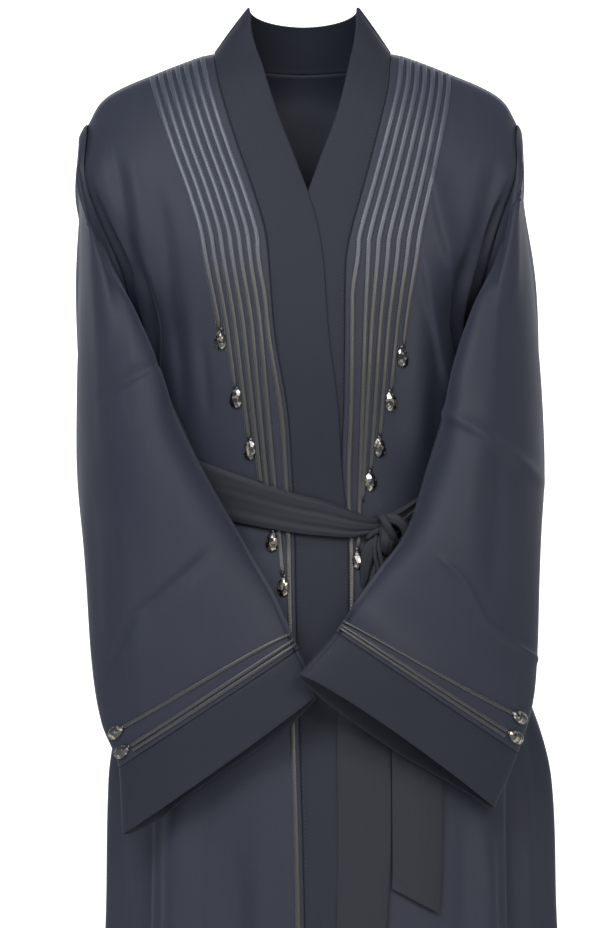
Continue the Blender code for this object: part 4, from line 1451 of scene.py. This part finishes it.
@dataclass
class WideSleeve:
    """One wide hanging sleeve with its plain cuff band and the satin cords above it."""

    side: Side
    form: WornForm
    finishes: Finishes
    rows: int = 210
    columns: int = 168
    cuff_rows: int = 18
    seam_from_edge: float = 6.0

    def __post_init__(self) -> None:
        """Read the sleeve's rings."""
        self.shape = SleeveForm(self.side, self.form)

    def turns(self) -> np.ndarray:
        """Turns round the sleeve, closer together at the underarm and overarm edges."""
        turn = np.linspace(0, 2 * pi, self.columns, endpoint=False)
        return turn - 0.22 * np.sin(2 * turn)

    def grid(self, places: np.ndarray) -> np.ndarray:
        """Points of the sleeve at some places down it."""
        return self.shape.point(places[:, None], self.turns()[None, :])

    def front_share(self) -> np.ndarray:
        """1 on the front layer and 0 on the back one."""
        return smooth(-0.15, 0.25, np.sin(self.turns()))[None, :]

    def edge_distance(self, points: np.ndarray) -> np.ndarray:
        """Distance of each front point from the underarm edge, round its ring."""
        steps = np.linalg.norm(np.diff(points, axis=1), axis=2)
        return np.concatenate([np.zeros((len(points), 1)), np.cumsum(steps, axis=1)], axis=1)

    def relief(self, points: np.ndarray, places: np.ndarray) -> np.ndarray:
        """How folds, press marks and the seam beside the underarm edge move the cloth.

        Args:
            points: rows by columns of sleeve points.
            places: how far down the sleeve each row is.

        Returns:
            The rise at each point.
        """
        front = self.front_share()
        rise = self.shape.creases.lift(points) * front
        distance = self.edge_distance(points)
        beside = distance < UNDERARM_REACH
        seam = -3.0 * np.exp(-(((distance - self.seam_from_edge) / 1.8) ** 2)) * beside
        roll = 1.3 * np.exp(-(((distance - self.seam_from_edge / 2) / 2.2) ** 2)) * beside
        x, y, z = points[..., 0], points[..., 1], points[..., 2]
        drag = np.sin(z / 58 + x / 23 + 0.9 * np.sin(z / 31)) * np.sin(x / 41 - y / 33)
        head = np.sin(4.5 * self.turns())[None, :] * np.exp(-((places[:, None] - 1.3) / 1.0) ** 2)
        behind = (1 - front) * 2.0 * np.sin(z / 46 + y / 26)
        behind = behind * np.sin(pi * np.clip(places[:, None] / 9.5, 0, 1))
        start = smooth(0.0, 0.8, places)[:, None]
        end = 1 - 0.7 * smooth(9.0, 9.9, places)[:, None]
        return (rise + 0.55 * drag * front + 0.8 * head + behind) * start * end + (seam + roll) * start

    def outward(self, points: np.ndarray) -> tuple[float, float, float]:
        """From the middle ring's centre towards its middle point."""
        ring = points[len(points) // 2]
        away = ring[len(ring) // 2] - ring.mean(axis=0)
        return tuple(float(part) for part in away)

    def tube(self) -> Cloth:
        """The sleeve from its armhole to the cuff's seam.

        Returns:
            The cut of cloth.
        """
        places = np.linspace(0, 1, self.rows)
        places = (CUFF_SEAM_RING - 0.01) * (places + 0.06 * np.sin(pi * places))
        points = self.grid(places)
        name = f"sleeve_{self.side.word}"
        return Cloth(f"{name}_cloth", points, (name,), self.finishes.crepe, "crepe", closed=True,
                     outward=self.outward(points), relief=self.relief(points, places), hold=Hold.HUNG)

    def edge_reach(self) -> np.ndarray:
        """How much further the cuff's edge hangs at each turn than its straight cut."""
        share = np.arccos(np.cos(self.turns())) / pi
        if self.side is Side.RIGHT:
            return 9.0 * np.sin(0.62 * pi * share) ** 1.5
        front = self.front_share()[0]
        return 5.4 * share ** 2 * (1 - front) - 5.5 * np.sin(1.45 * pi * share) * front

    def cuff(self) -> Cloth:
        """The doubled cuff band.

        Returns:
            The cut of cloth.
        """
        places = np.linspace(CUFF_SEAM_RING, CUFF_EDGE_RING, self.cuff_rows)
        points = self.grid(places)
        share = (places - CUFF_SEAM_RING)[:, None]
        down = points[-1] - points[0]
        down = down / np.linalg.norm(down, axis=1, keepdims=True)
        points = points + (share * self.edge_reach()[None, :])[..., None] * down[None]
        crown = 0.7 * np.sin(pi * share) ** 0.6 - 0.5 * np.exp(-((share / 0.05) ** 2))
        x, z = points[..., 0], points[..., 2]
        wave = 0.8 * np.sin(x / 24 + z / 60) * share + 0.5 * np.sin(x / 11 - z / 19) * share * (1 - share)
        distance = self.edge_distance(points)
        seam = -1.1 * np.exp(-(((distance - self.seam_from_edge) / 1.2) ** 2)) * (distance < UNDERARM_REACH)
        name = f"cuff_{self.side.word}"
        return Cloth(f"{name}_cloth", points, (name,), self.finishes.band, "band_crepe", wall=BAND_WALL,
                     closed=True, outward=self.outward(points), relief=crown + wave + seam,
                     soft_rim=True, hold=Hold.FOLDED)

    def cuff_cords(self) -> list[bpy.types.Object]:
        """The three cords above the cuff's seam, with the cut stones at their overarm ends.

        Returns:
            The cords, stones and beads.
        """
        made = []
        word = self.side.word
        share = np.linspace(0, 1, 90)
        lowest = CUFF_SEAM_RING - CORD_OFF_CUFF_SEAM
        first, last = CUFF_CORD_TURNS
        for number, cord in enumerate(CUFF_CORDS, start=1):
            up = cord.under / CUFF_RING_PITCH_UNDER * (1 - share) + cord.over / CUFF_RING_PITCH_OVER * share
            route, normals = self.shape.frame(lowest - up, first + (last - first) * share)
            node = f"cuff_cord_{word}_{number}"
            piece = round_cord(f"{node}_satin", route + normals * 0.3, normals, CUFF_CORD_WIDTH,
                               CORD_THICKNESS)
            made.append(dress(piece, self.finishes.cuff_cord, (node,)))
            if cord.stone:
                place = np.array(lowest - cord.over / CUFF_RING_PITCH_OVER)
                point, normal = self.shape.frame(place, np.array(CUFF_STONE_TURNS[number]))
                before = self.shape.frame(place, np.array(STONE_AHEAD_TURN))[0]
                stone = CutStone(f"cuff_stone_{word}_{number}", point + normal * 0.9, normal,
                                 unit(point - before), self.finishes)
                made += stone.build()
        return made

    def build(self) -> list[bpy.types.Object]:
        """Build the sleeve, its cuff and its trim.

        Returns:
            The finished pieces.
        """
        return [self.tube().build(), self.cuff().build(), *self.cuff_cords()]


@dataclass
class CutStone:
    """A pear-shaped stone with a brilliant-like crown, sewn on below its seed bead."""

    node: str
    point: np.ndarray
    normal: np.ndarray
    along: np.ndarray
    finishes: Finishes
    length: float = STONE_LENGTH + 1.0
    width: float = STONE_WIDTH + 3.6
    height: float = STONE_HEIGHT
    facets: int = 12

    def ring(self, lift: float, size: float, turned: float, count: int) -> list[np.ndarray]:
        """A ring of the stone's corners.

        Args:
            lift: how far the ring stands off the cloth.
            size: its share of the whole outline.
            turned: turn of its corners, as a share of one facet.
            count: how many corners it has.

        Returns:
            The corners, in millimetres.
        """
        side = unit(np.cross(self.along, self.normal))
        corners = []
        for index in range(count):
            turn = 2 * pi * (index + turned) / count
            back = (1 - cos(turn)) / 2
            taper = 1 - 0.16 * back * abs(sin(turn)) - 0.12 * back
            corners.append(self.point + self.normal * lift
                           + self.along * (cos(turn) * self.length / 2 * size)
                           + side * (sin(turn) * self.width / 2 * size * taper))
        return corners

    def build(self) -> list[bpy.types.Object]:
        """Build the stone and its bead.

        Returns:
            Both pieces.
        """
        shape = bmesh.new()
        corners = (self.ring(0.2, 0.72, 0, self.facets) + self.ring(1.3, 0.99, 0, self.facets)
                   + self.ring(1.7, 0.97, 0.5, self.facets) + self.ring(3.0, 0.72, 0.0, self.facets // 2)
                   + self.ring(self.height, 0.42, 0.5, self.facets // 2))
        for corner in corners:
            shape.verts.new(Vector(corner * MM))
        bmesh.ops.convex_hull(shape, input=shape.verts)
        loose = [vertex for vertex in shape.verts if not vertex.link_faces]
        bmesh.ops.delete(shape, geom=loose, context="VERTS")
        bmesh.ops.recalc_face_normals(shape, faces=shape.faces)
        stone = dress(link_mesh(f"{self.node}_glass", shape, soft=False), self.finishes.stone,
                      (self.node,))
        bead_shape = bmesh.new()
        bmesh.ops.create_uvsphere(bead_shape, u_segments=14, v_segments=9, radius=1.5 * MM)
        place = self.point - self.along * (self.length / 2 + 0.9) + self.normal * 1.5
        bmesh.ops.translate(bead_shape, vec=Vector(place * MM), verts=bead_shape.verts)
        bead = dress(link_mesh(f"{self.node}_bead", bead_shape), self.finishes.bead)
        return [stone, bead]


@dataclass
class ChestCords:
    """Seven satin cords a side, from the shoulder seam to their stones; the last runs to the hem."""

    side: Side
    form: WornForm
    finishes: Finishes
    bend_z: float = -185.0

    def run_down(self, number: int, end: Optional[CordEnd]) -> tuple[np.ndarray, np.ndarray]:
        """A cord's route.

        Args:
            number: the cord's number, 0 for the outermost.
            end: where it ends, or None for the cord that runs to the hem.

        Returns:
            x and height of points along it.
        """
        sign, band = self.side.value, self.form.bands[self.side]
        first_x, start_pitch, first_bend, bend_pitch = CORD_STARTS[self.side]
        start_x = first_x + start_pitch * number
        bend_x = first_bend + bend_pitch * number
        start_z = float(self.form.shoulder_height(start_x)) - 2.5
        share = np.linspace(0, 1, 44)
        height = start_z + (self.bend_z - start_z) * share ** 1.4
        start_off = start_x - float(band.read("seam_x", start_z))
        bend_off = bend_x - float(band.read("seam_x", self.bend_z))
        x = band.read("seam_x", height) + start_off + (bend_off - start_off) * share
        stop_z = end.z + STONE_LENGTH / 2 + 1.2 if end else -ROBE_LENGTH + 1
        below = np.linspace(self.bend_z, stop_z, max(8, ceil((self.bend_z - stop_z) / 7)))[1:]
        if end:
            lower_x = bend_x + (end.x - bend_x) * (below - self.bend_z) / (end.z - self.bend_z)
        else:
            lower_x = band.read("seam_x", below) + sign * LAST_CORD_OFF_SEAM
            if self.side is Side.LEFT:
                over = self.form.bands[Side.RIGHT].read("edge_x", below) + LAST_CORD_OFF_EDGE
                lower_x = np.maximum(lower_x, over)
            lower_x = bend_x + (lower_x - bend_x) * smooth(self.bend_z, self.bend_z - 60, below)
        lower_x = lower_x + CORD_EASE[self.side][number] * smooth(self.bend_z, self.bend_z - 90, below)
        return np.concatenate([x, lower_x]), np.concatenate([height, below])

    def build(self) -> list[bpy.types.Object]:
        """Build the cords of this side with their stones.

        Returns:
            The finished pieces.
        """
        made = []
        lifted = self.side is Side.RIGHT
        ends = CORD_ENDS[self.side]
        for number in range(len(ends) + 1):
            end = ends[number] if number < len(ends) else None
            x, height = self.run_down(number, end)
            route, normals = self.form.on_front(x, height, 0.35, lifted)
            node = f"cord_{self.side.word}_{number + 1}"
            piece = round_cord(f"{node}_satin", route, normals, CHEST_CORD_WIDTH, CORD_THICKNESS)
            made.append(dress(piece, self.finishes.cord, (node,)))
            if end and end.stone_shows:
                middle = end.x + CORD_EASE[self.side][number]
                point, normal = self.form.on_front(middle, end.z, 0.8, lifted)
                above = self.form.on_front(middle - self.side.value * 2, end.z + 20, 0.8, lifted)[0]
                stone = CutStone(f"stone_{self.side.word}_{number + 1}", point, normal,
                                 unit(point - above), self.finishes)
                made += stone.build()
        return made


@dataclass(frozen=True)
class StrapPoint:
    """A point of a folded strip in the knot: place over the front, lift, half width, half thickness."""

    x: float
    z: float
    lift: float
    half_width: float
    half_thick: float
    tilt: float = 0.0


@dataclass
class FoldedStrap:
    """A strip of the sash, folded lengthwise, that bends through a knot."""

    name: str
    stops: tuple[StrapPoint, ...]
    rows: int = 70
    sides: int = 26
    pleats: int = 3

    def build_points(self, base_y: float) -> np.ndarray:
        """Rings of points along the strap.

        Args:
            base_y: the y of the sash's outer face behind the knot.

        Returns:
            Rows by columns of points.
        """
        placed = [StrapStop(float(index), *astuple(stop)) for index, stop in enumerate(self.stops)]
        table = Rows(placed, "place")
        places = np.linspace(0, len(self.stops) - 1, self.rows)
        centre = stack(table.read("x", places), base_y - table.read("lift", places), table.read("z", places))
        ahead = unit(np.gradient(centre, axis=0))
        toward = np.broadcast_to(np.array([0.0, -1.0, 0.0]), centre.shape)
        side = unit(np.cross(ahead, toward))
        normal = unit(np.cross(side, ahead))
        tilt = np.radians(table.read("tilt", places))[:, None]
        side, normal = (side * np.cos(tilt) + normal * np.sin(tilt),
                        normal * np.cos(tilt) - side * np.sin(tilt))
        turn = 2 * pi * np.arange(self.sides) / self.sides
        across, out = np.cos(turn), np.sin(turn)
        drift = 1.5 * np.sin(places[:, None] * 1.3)
        pleat = 1 + 0.16 * np.cos(self.pleats * pi * across[None, :] + drift) * (out[None, :] > 0)
        width = table.read("half_width", places)[:, None] * np.sign(across) * np.abs(across) ** 0.85
        thick = table.read("half_thick", places)[:, None] * out * pleat
        return centre[:, None] + side[:, None] * width[..., None] + normal[:, None] * thick[..., None]


@dataclass(frozen=True)
class StrapStop:
    """A strap's point with its place in the row."""

    place: float
    x: float
    z: float
    lift: float
    half_width: float
    half_thick: float
    tilt: float


# The knot seen from the front: the strap that crosses on top, the lobe under it and the strap
# that curls round its right side; then the rolled loop, the leaf and the strips below it.
KNOT_STRAPS = (
    (StrapPoint(70.5, -447.5, 3, 2.4, 2.0), StrapPoint(72.5, -449.5, 8, 3.5, 2.9),
     StrapPoint(76, -454.5, 12, 3.6, 3.0), StrapPoint(80, -461.5, 13.5, 3.6, 3.0),
     StrapPoint(84, -469, 12, 3.5, 2.8), StrapPoint(87, -475, 7.5, 2.8, 2.2),
     StrapPoint(88, -478, 4, 1.6, 1.5)),
    (StrapPoint(77, -457, 4, 4.6, 3.0), StrapPoint(77.5, -465, 7, 6.4, 4.4),
     StrapPoint(78, -474, 8, 7.3, 5.0), StrapPoint(78.5, -481, 6.5, 6.4, 4.3),
     StrapPoint(79.5, -487, 2.8, 3.4, 2.2)),
    (StrapPoint(73, -452, 5, 4.6, 2.4), StrapPoint(81, -452, 9, 5.6, 3.0),
     StrapPoint(89.5, -455, 10.5, 5.0, 3.2), StrapPoint(95.5, -461.5, 10.5, 4.5, 3.2),
     StrapPoint(96.5, -469.5, 9, 4.2, 3.0),
     StrapPoint(92, -475.5, 7, 3.8, 2.8), StrapPoint(86.5, -478.5, 4, 2.8, 2.0)),
)
LOOP_STRAP = (
    StrapPoint(75, -460.5, 3, 2.1, 1.6), StrapPoint(70, -463.5, 5, 2.5, 1.9),
    StrapPoint(65, -466, 5.5, 2.5, 1.9), StrapPoint(61, -469.5, 5, 2.3, 1.8),
    StrapPoint(58.5, -471.5, 3.6, 1.5, 1.3),
)
LEAF_STRAP = (
    StrapPoint(69, -470, 3.2, 2.2, 1.5), StrapPoint(64, -476, 4.6, 4.4, 1.9),
    StrapPoint(60, -484, 5.2, 6.1, 2.1), StrapPoint(58.5, -493, 5.2, 6.2, 2.1),
    StrapPoint(57.5, -503, 4.8, 5.0, 2.0), StrapPoint(55.5, -514, 4.2, 3.6, 1.8),
    StrapPoint(51, -529, 3.2, 2.0, 1.4),
)
STRIP_STRAPS = (
    (StrapPoint(68, -468, 4, 1.8, 1.3), StrapPoint(66.5, -478, 6.5, 2.0, 1.4),
     StrapPoint(67, -489, 7.5, 2.1, 1.4), StrapPoint(70, -502, 8, 2.3, 1.5),
     StrapPoint(70, -516, 8, 2.6, 1.5)),
    (StrapPoint(71, -470, 4, 1.7, 1.3), StrapPoint(70.5, -480, 7.5, 2.0, 1.4),
     StrapPoint(72.5, -491, 8.5, 2.1, 1.4), StrapPoint(75.5, -504, 9, 2.4, 1.5),
     StrapPoint(77, -516, 9, 2.6, 1.5)),
)


@dataclass
class TiedSash:
    """The sash round the waist, its knot on the wearer's left and its two hanging tails."""

    form: WornForm
    finishes: Finishes
    columns: int = 300
    rows: int = 34
    tail_rows: int = 170
    tail_columns: int = 26

    def ring_points(self) -> tuple[np.ndarray, np.ndarray]:
        """Points of the sash round the waist, and how its gathers move them.

        Returns:
            Rows by columns of points, and the rise of each.
        """
        form, table = self.form, Rows(SASH_ROWS, "angle")
        degrees = np.linspace(0, 360, self.columns, endpoint=False)
        share = np.linspace(0, 1, self.rows)[:, None]
        top, bottom = table.read("top", degrees), table.read("bottom", degrees)
        height = bottom + (top - bottom) * share
        crown = 1.2 * np.sin(pi * share)
        points = np.zeros((self.rows, self.columns, 3))
        for face in Face:
            on = degrees < 180 if face is Face.FRONT else degrees >= 180
            angle = np.radians(degrees if face is Face.FRONT else 360 - degrees)[on]
            angle = np.broadcast_to(angle, (self.rows, angle.size))
            over_cords = smooth(0, 0.5, np.sin(angle)) if face is Face.FRONT else 0 * angle
            out = SASH_OUT_BEHIND + (SASH_OUT - SASH_OUT_BEHIND) * over_cords + crown
            base = form.surface(angle, height[:, on], face)
            points[:, on] = base + form.normal(angle, height[:, on], face) * out[..., None]
        around = np.radians(degrees)[None, :]
        near_knot = np.exp(-(((degrees - 73) / 26) ** 2))[None, :]
        pleats = np.sin(2 * pi * (2.3 * share + 0.35 * np.sin(around * 1.5)))
        fine = np.sin(2 * pi * (5.2 * share + 0.5 * np.sin(around * 2.0 + 1.0)))
        slack = np.sin(around * 9 + 3 * share) * np.sin(pi * share)
        top_roll = 1.5 * np.exp(-(((share - 0.80) / 0.16) ** 2)) * (0.5 + 0.5 * near_knot)
        rise = (0.20 + 0.35 * near_knot) * pleats + (0.06 + 0.22 * near_knot) * fine
        rise = rise + 0.35 * slack + top_roll
        rim = -0.8 * (np.exp(-((share / 0.06) ** 2)) + np.exp(-(((1 - share) / 0.06) ** 2)))
        return points, rise + rim

    def band(self) -> Cloth:
        """The sash round the waist.

        Returns:
            The cut of cloth.
        """
        points, rise = self.ring_points()
        ring = points[self.rows // 2]
        away = tuple(float(part) for part in ring[self.columns // 2] - ring.mean(axis=0))
        return Cloth("sash_cloth", points, ("sash",), self.finishes.sash, "sash_crepe", wall=BAND_WALL,
                     closed=True, outward=away, relief=rise, soft_rim=True, hold=Hold.GATHERED,
                     rests_on=("front_right", "front_left", "back"))

    def strap(self, name: str, stops: tuple[StrapPoint, ...], nodes: tuple[str, ...]) -> bpy.types.Object:
        """One folded strip of the knot, capped at its hidden ends.

        Args:
            name: the piece's name.
            stops: the strip's points.
            nodes: the CAD nodes that it stands for.

        Returns:
            The finished strip.
        """
        base_y = float(self.form.on_front(84.0, -467.0, SASH_OUT, False)[0][1])
        points = FoldedStrap(name, stops).build_points(base_y)
        piece = grid_mesh(name, points, closed=True, capped=True)
        shape = bmesh.new()
        shape.from_mesh(piece.data)
        bmesh.ops.recalc_face_normals(shape, faces=shape.faces)
        shape.to_mesh(piece.data)
        shape.free()
        dress(piece, self.finishes.sash, nodes)
        return piece

    def tail(self, name: str, rows: tuple[TailRow, ...], slant: float, phase: float) -> Cloth:
        """A hanging end of the sash.

        Args:
            name: the CAD node that it stands for.
            rows: its middle and width by height.
            slant: how far its end falls on the wearer's left, in millimetres.
            phase: where its ripples start.

        Returns:
            The cut of cloth.
        """
        table = Rows(rows, "height")
        height = np.linspace(rows[0].height, rows[-1].height, self.tail_rows)[:, None]
        across = np.linspace(-1, 1, self.tail_columns)[None, :]
        x = table.read("middle", height) + across * table.read("width", height) / 2
        fall = slant * across * smooth(rows[-1].height + 60, rows[-1].height, height)
        share = smooth(rows[0].height, rows[0].height - 60, height)
        points, _ = self.form.on_front(x, height - fall, 5.0 + 1.3 * (1 - np.abs(across)) * share, False)
        rows_from_top = rows[0].height - height
        gathers = np.cos(pi * (3.0 * across + phase)) * np.exp(-rows_from_top / 70) * 1.0
        sway = 0.7 * np.sin(rows_from_top / 52 + 1.2 * across + phase)
        press = -0.5 * np.exp(-(((height + 684 + 6 * across) / 4.5) ** 2))
        hem = -0.4 * np.exp(-(((height - rows[-1].height - 9) / 1.5) ** 2))
        rim = -0.35 * np.exp(-(((1 - np.abs(across)) / 0.10) ** 2))
        return Cloth(f"{name}_cloth", points, (name,), self.finishes.sash, "sash_crepe",
                     relief=gathers + sway + press + hem + rim, soft_rim=True, hold=Hold.HUNG)

    def build(self) -> list[bpy.types.Object]:
        """Build the sash, the knot's strips and both tails.

        Returns:
            The finished pieces.
        """
        made = [self.band().build()]
        made.append(self.strap("knot_crossing_cloth", KNOT_STRAPS[0], ("knot",)))
        made.append(self.strap("knot_lobe_cloth", KNOT_STRAPS[1], ("knot",)))
        made.append(self.strap("knot_curl_cloth", KNOT_STRAPS[2], ("knot",)))
        made.append(self.strap("knot_loop_cloth", LOOP_STRAP, ("knot_loop",)))
        made.append(self.strap("knot_leaf_cloth", LEAF_STRAP, ("knot_leaf",)))
        for number, stops in enumerate(STRIP_STRAPS, start=1):
            made.append(self.strap(f"knot_strip_{number}_cloth", stops, ()))
        made.append(self.tail("sash_tail_long", TAIL_LONG, 2, 0.0).build())
        made.append(self.tail("sash_tail_short", TAIL_SHORT, 12, 0.6).build())
        return made


@dataclass(frozen=True)
class Softbox:
    """A soft light of the studio."""

    name: str
    place: tuple[float, float, float]
    size: float
    watts: float
    tint: tuple[float, float, float]


@dataclass
class Studio:
    """The pale floor with its sweep, the soft lights and the camera."""

    aim: tuple[float, float, float] = (-0.005, -0.09, -0.400)
    distance: float = 5.6
    framed_height: float = 0.891
    floor_low: float = -ROBE_LENGTH * MM - 0.04
    floor_ahead: float = 11.0
    floor_behind: float = 18.0
    floor_bend: float = 1.4
    floor_half: float = 12.0
    floor_run: float = 44.0
    glow_reach: tuple[float, float] = (5.5, 7.6)
    glow_strength: tuple[float, float] = (0.03, 0.74)
    boxes: tuple[Softbox, ...] = (
        Softbox("key", (-1.3, -3.0, 1.9), 1.9, 118.0, (0.93, 0.97, 1.0)),
        Softbox("fill", (1.2, -3.1, 0.8), 1.4, 50.0, (1.0, 0.92, 0.84)),
        Softbox("top", (0.2, -0.9, 2.4), 1.4, 8.0, (1.0, 1.0, 1.0)),
    )

    def floor(self) -> bpy.types.Object:
        """The pale floor, which sweeps up behind the robe.

        Returns:
            The floor.
        """
        shape = bmesh.new()
        bmesh.ops.create_grid(shape, x_segments=2, y_segments=120, size=1)
        low, behind, bend = self.floor_low, self.floor_behind, self.floor_bend
        flat = self.floor_ahead + behind - bend
        arc = bend * pi / 2
        for vertex in shape.verts:
            run = (vertex.co.y + 1) / 2 * self.floor_run
            if run <= flat:
                y, z = run - self.floor_ahead, low
            elif run <= flat + arc:
                turn = (run - flat) / bend
                y, z = behind - bend + bend * sin(turn), low + bend * (1 - cos(turn))
            else:
                y, z = behind, low + bend + (run - flat - arc)
            vertex.co = Vector((vertex.co.x * self.floor_half, y, z))
        floor = link_mesh("studio_floor", shape)
        bench = NodeBench("pale_floor_paper")
        tone = bench.noise(bench.coordinates("Object", (3.0, 3.0, 3.0)), 2.0)
        bench.join(bench.blend(bench.remap(tone, 0.0, 1.0), (0.93, 0.93, 0.93, 1), (0.96, 0.96, 0.96, 1)),
                   bench.shader.inputs["Base Color"])
        split = bench.add("SeparateXYZ")
        bench.join(bench.coordinates("Object", (1.0, 1.0, 1.0)), split.inputs["Vector"])
        glow = bench.remap(split.outputs["Y"], *self.glow_strength, *self.glow_reach)
        bench.join(glow, bench.shader.inputs["Emission Strength"])
        bench.set(Roughness=0.9, Emission_Color=(1.0, 1.0, 1.0, 1.0))
        floor.data.materials.append(bench.material)
        return floor

    def lights(self) -> None:
        """Hang the softboxes, turned to the robe, and set the room's even light."""
        for box in self.boxes:
            light = bpy.data.lights.new(box.name, "AREA")
            light.shape, light.size, light.energy, light.color = "SQUARE", box.size, box.watts, box.tint
            hung = bpy.data.objects.new(box.name, light)
            bpy.context.collection.objects.link(hung)
            hung.location = box.place
            toward = Vector(self.aim) - Vector(box.place)
            hung.rotation_euler = toward.to_track_quat("-Z", "Y").to_euler()
        world = bpy.data.worlds.new("even_room")
        bpy.context.scene.world = world
        world.use_nodes = True
        background = world.node_tree.nodes["Background"]
        background.inputs["Color"].default_value = (0.94, 0.96, 1.0, 1)
        background.inputs["Strength"].default_value = 0.42

    def camera(self) -> bpy.types.Object:
        """The camera, level in front of the robe, framed as the photograph is.

        Returns:
            The camera.
        """
        lens = bpy.data.cameras.new("front_camera")
        lens.sensor_fit = "VERTICAL"
        lens.sensor_height = 24.0
        lens.lens = lens.sensor_height * self.distance / self.framed_height
        lens.clip_end = 60.0
        camera = bpy.data.objects.new("front_camera", lens)
        bpy.context.collection.objects.link(camera)
        camera.location = (self.aim[0], self.aim[1] - self.distance, self.aim[2])
        camera.rotation_euler = (pi / 2, 0, 0)
        bpy.context.scene.camera = camera
        return camera


def main() -> None:
    """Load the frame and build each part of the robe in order."""
    logging.basicConfig(level=logging.INFO, format="%(message)s")
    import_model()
    studio = Studio()
    studio.camera()
    form, finishes = WornForm(), Finishes()
    builders = [
        BodyPanels(form, finishes), CrossedBands(form, finishes),
        WideSleeve(Side.RIGHT, form, finishes), WideSleeve(Side.LEFT, form, finishes),
        ChestCords(Side.RIGHT, form, finishes), ChestCords(Side.LEFT, form, finishes),
        TiedSash(form, finishes),
    ]
    for builder in builders:
        for piece in builder.build():
            LOG.info("%s: %s, %d faces", type(builder).__name__, piece.name, len(piece.data.polygons))
    studio.floor()
    studio.lights()
    bpy.context.scene.view_settings.view_transform = "Standard"


if __name__ == "__main__":
    main()
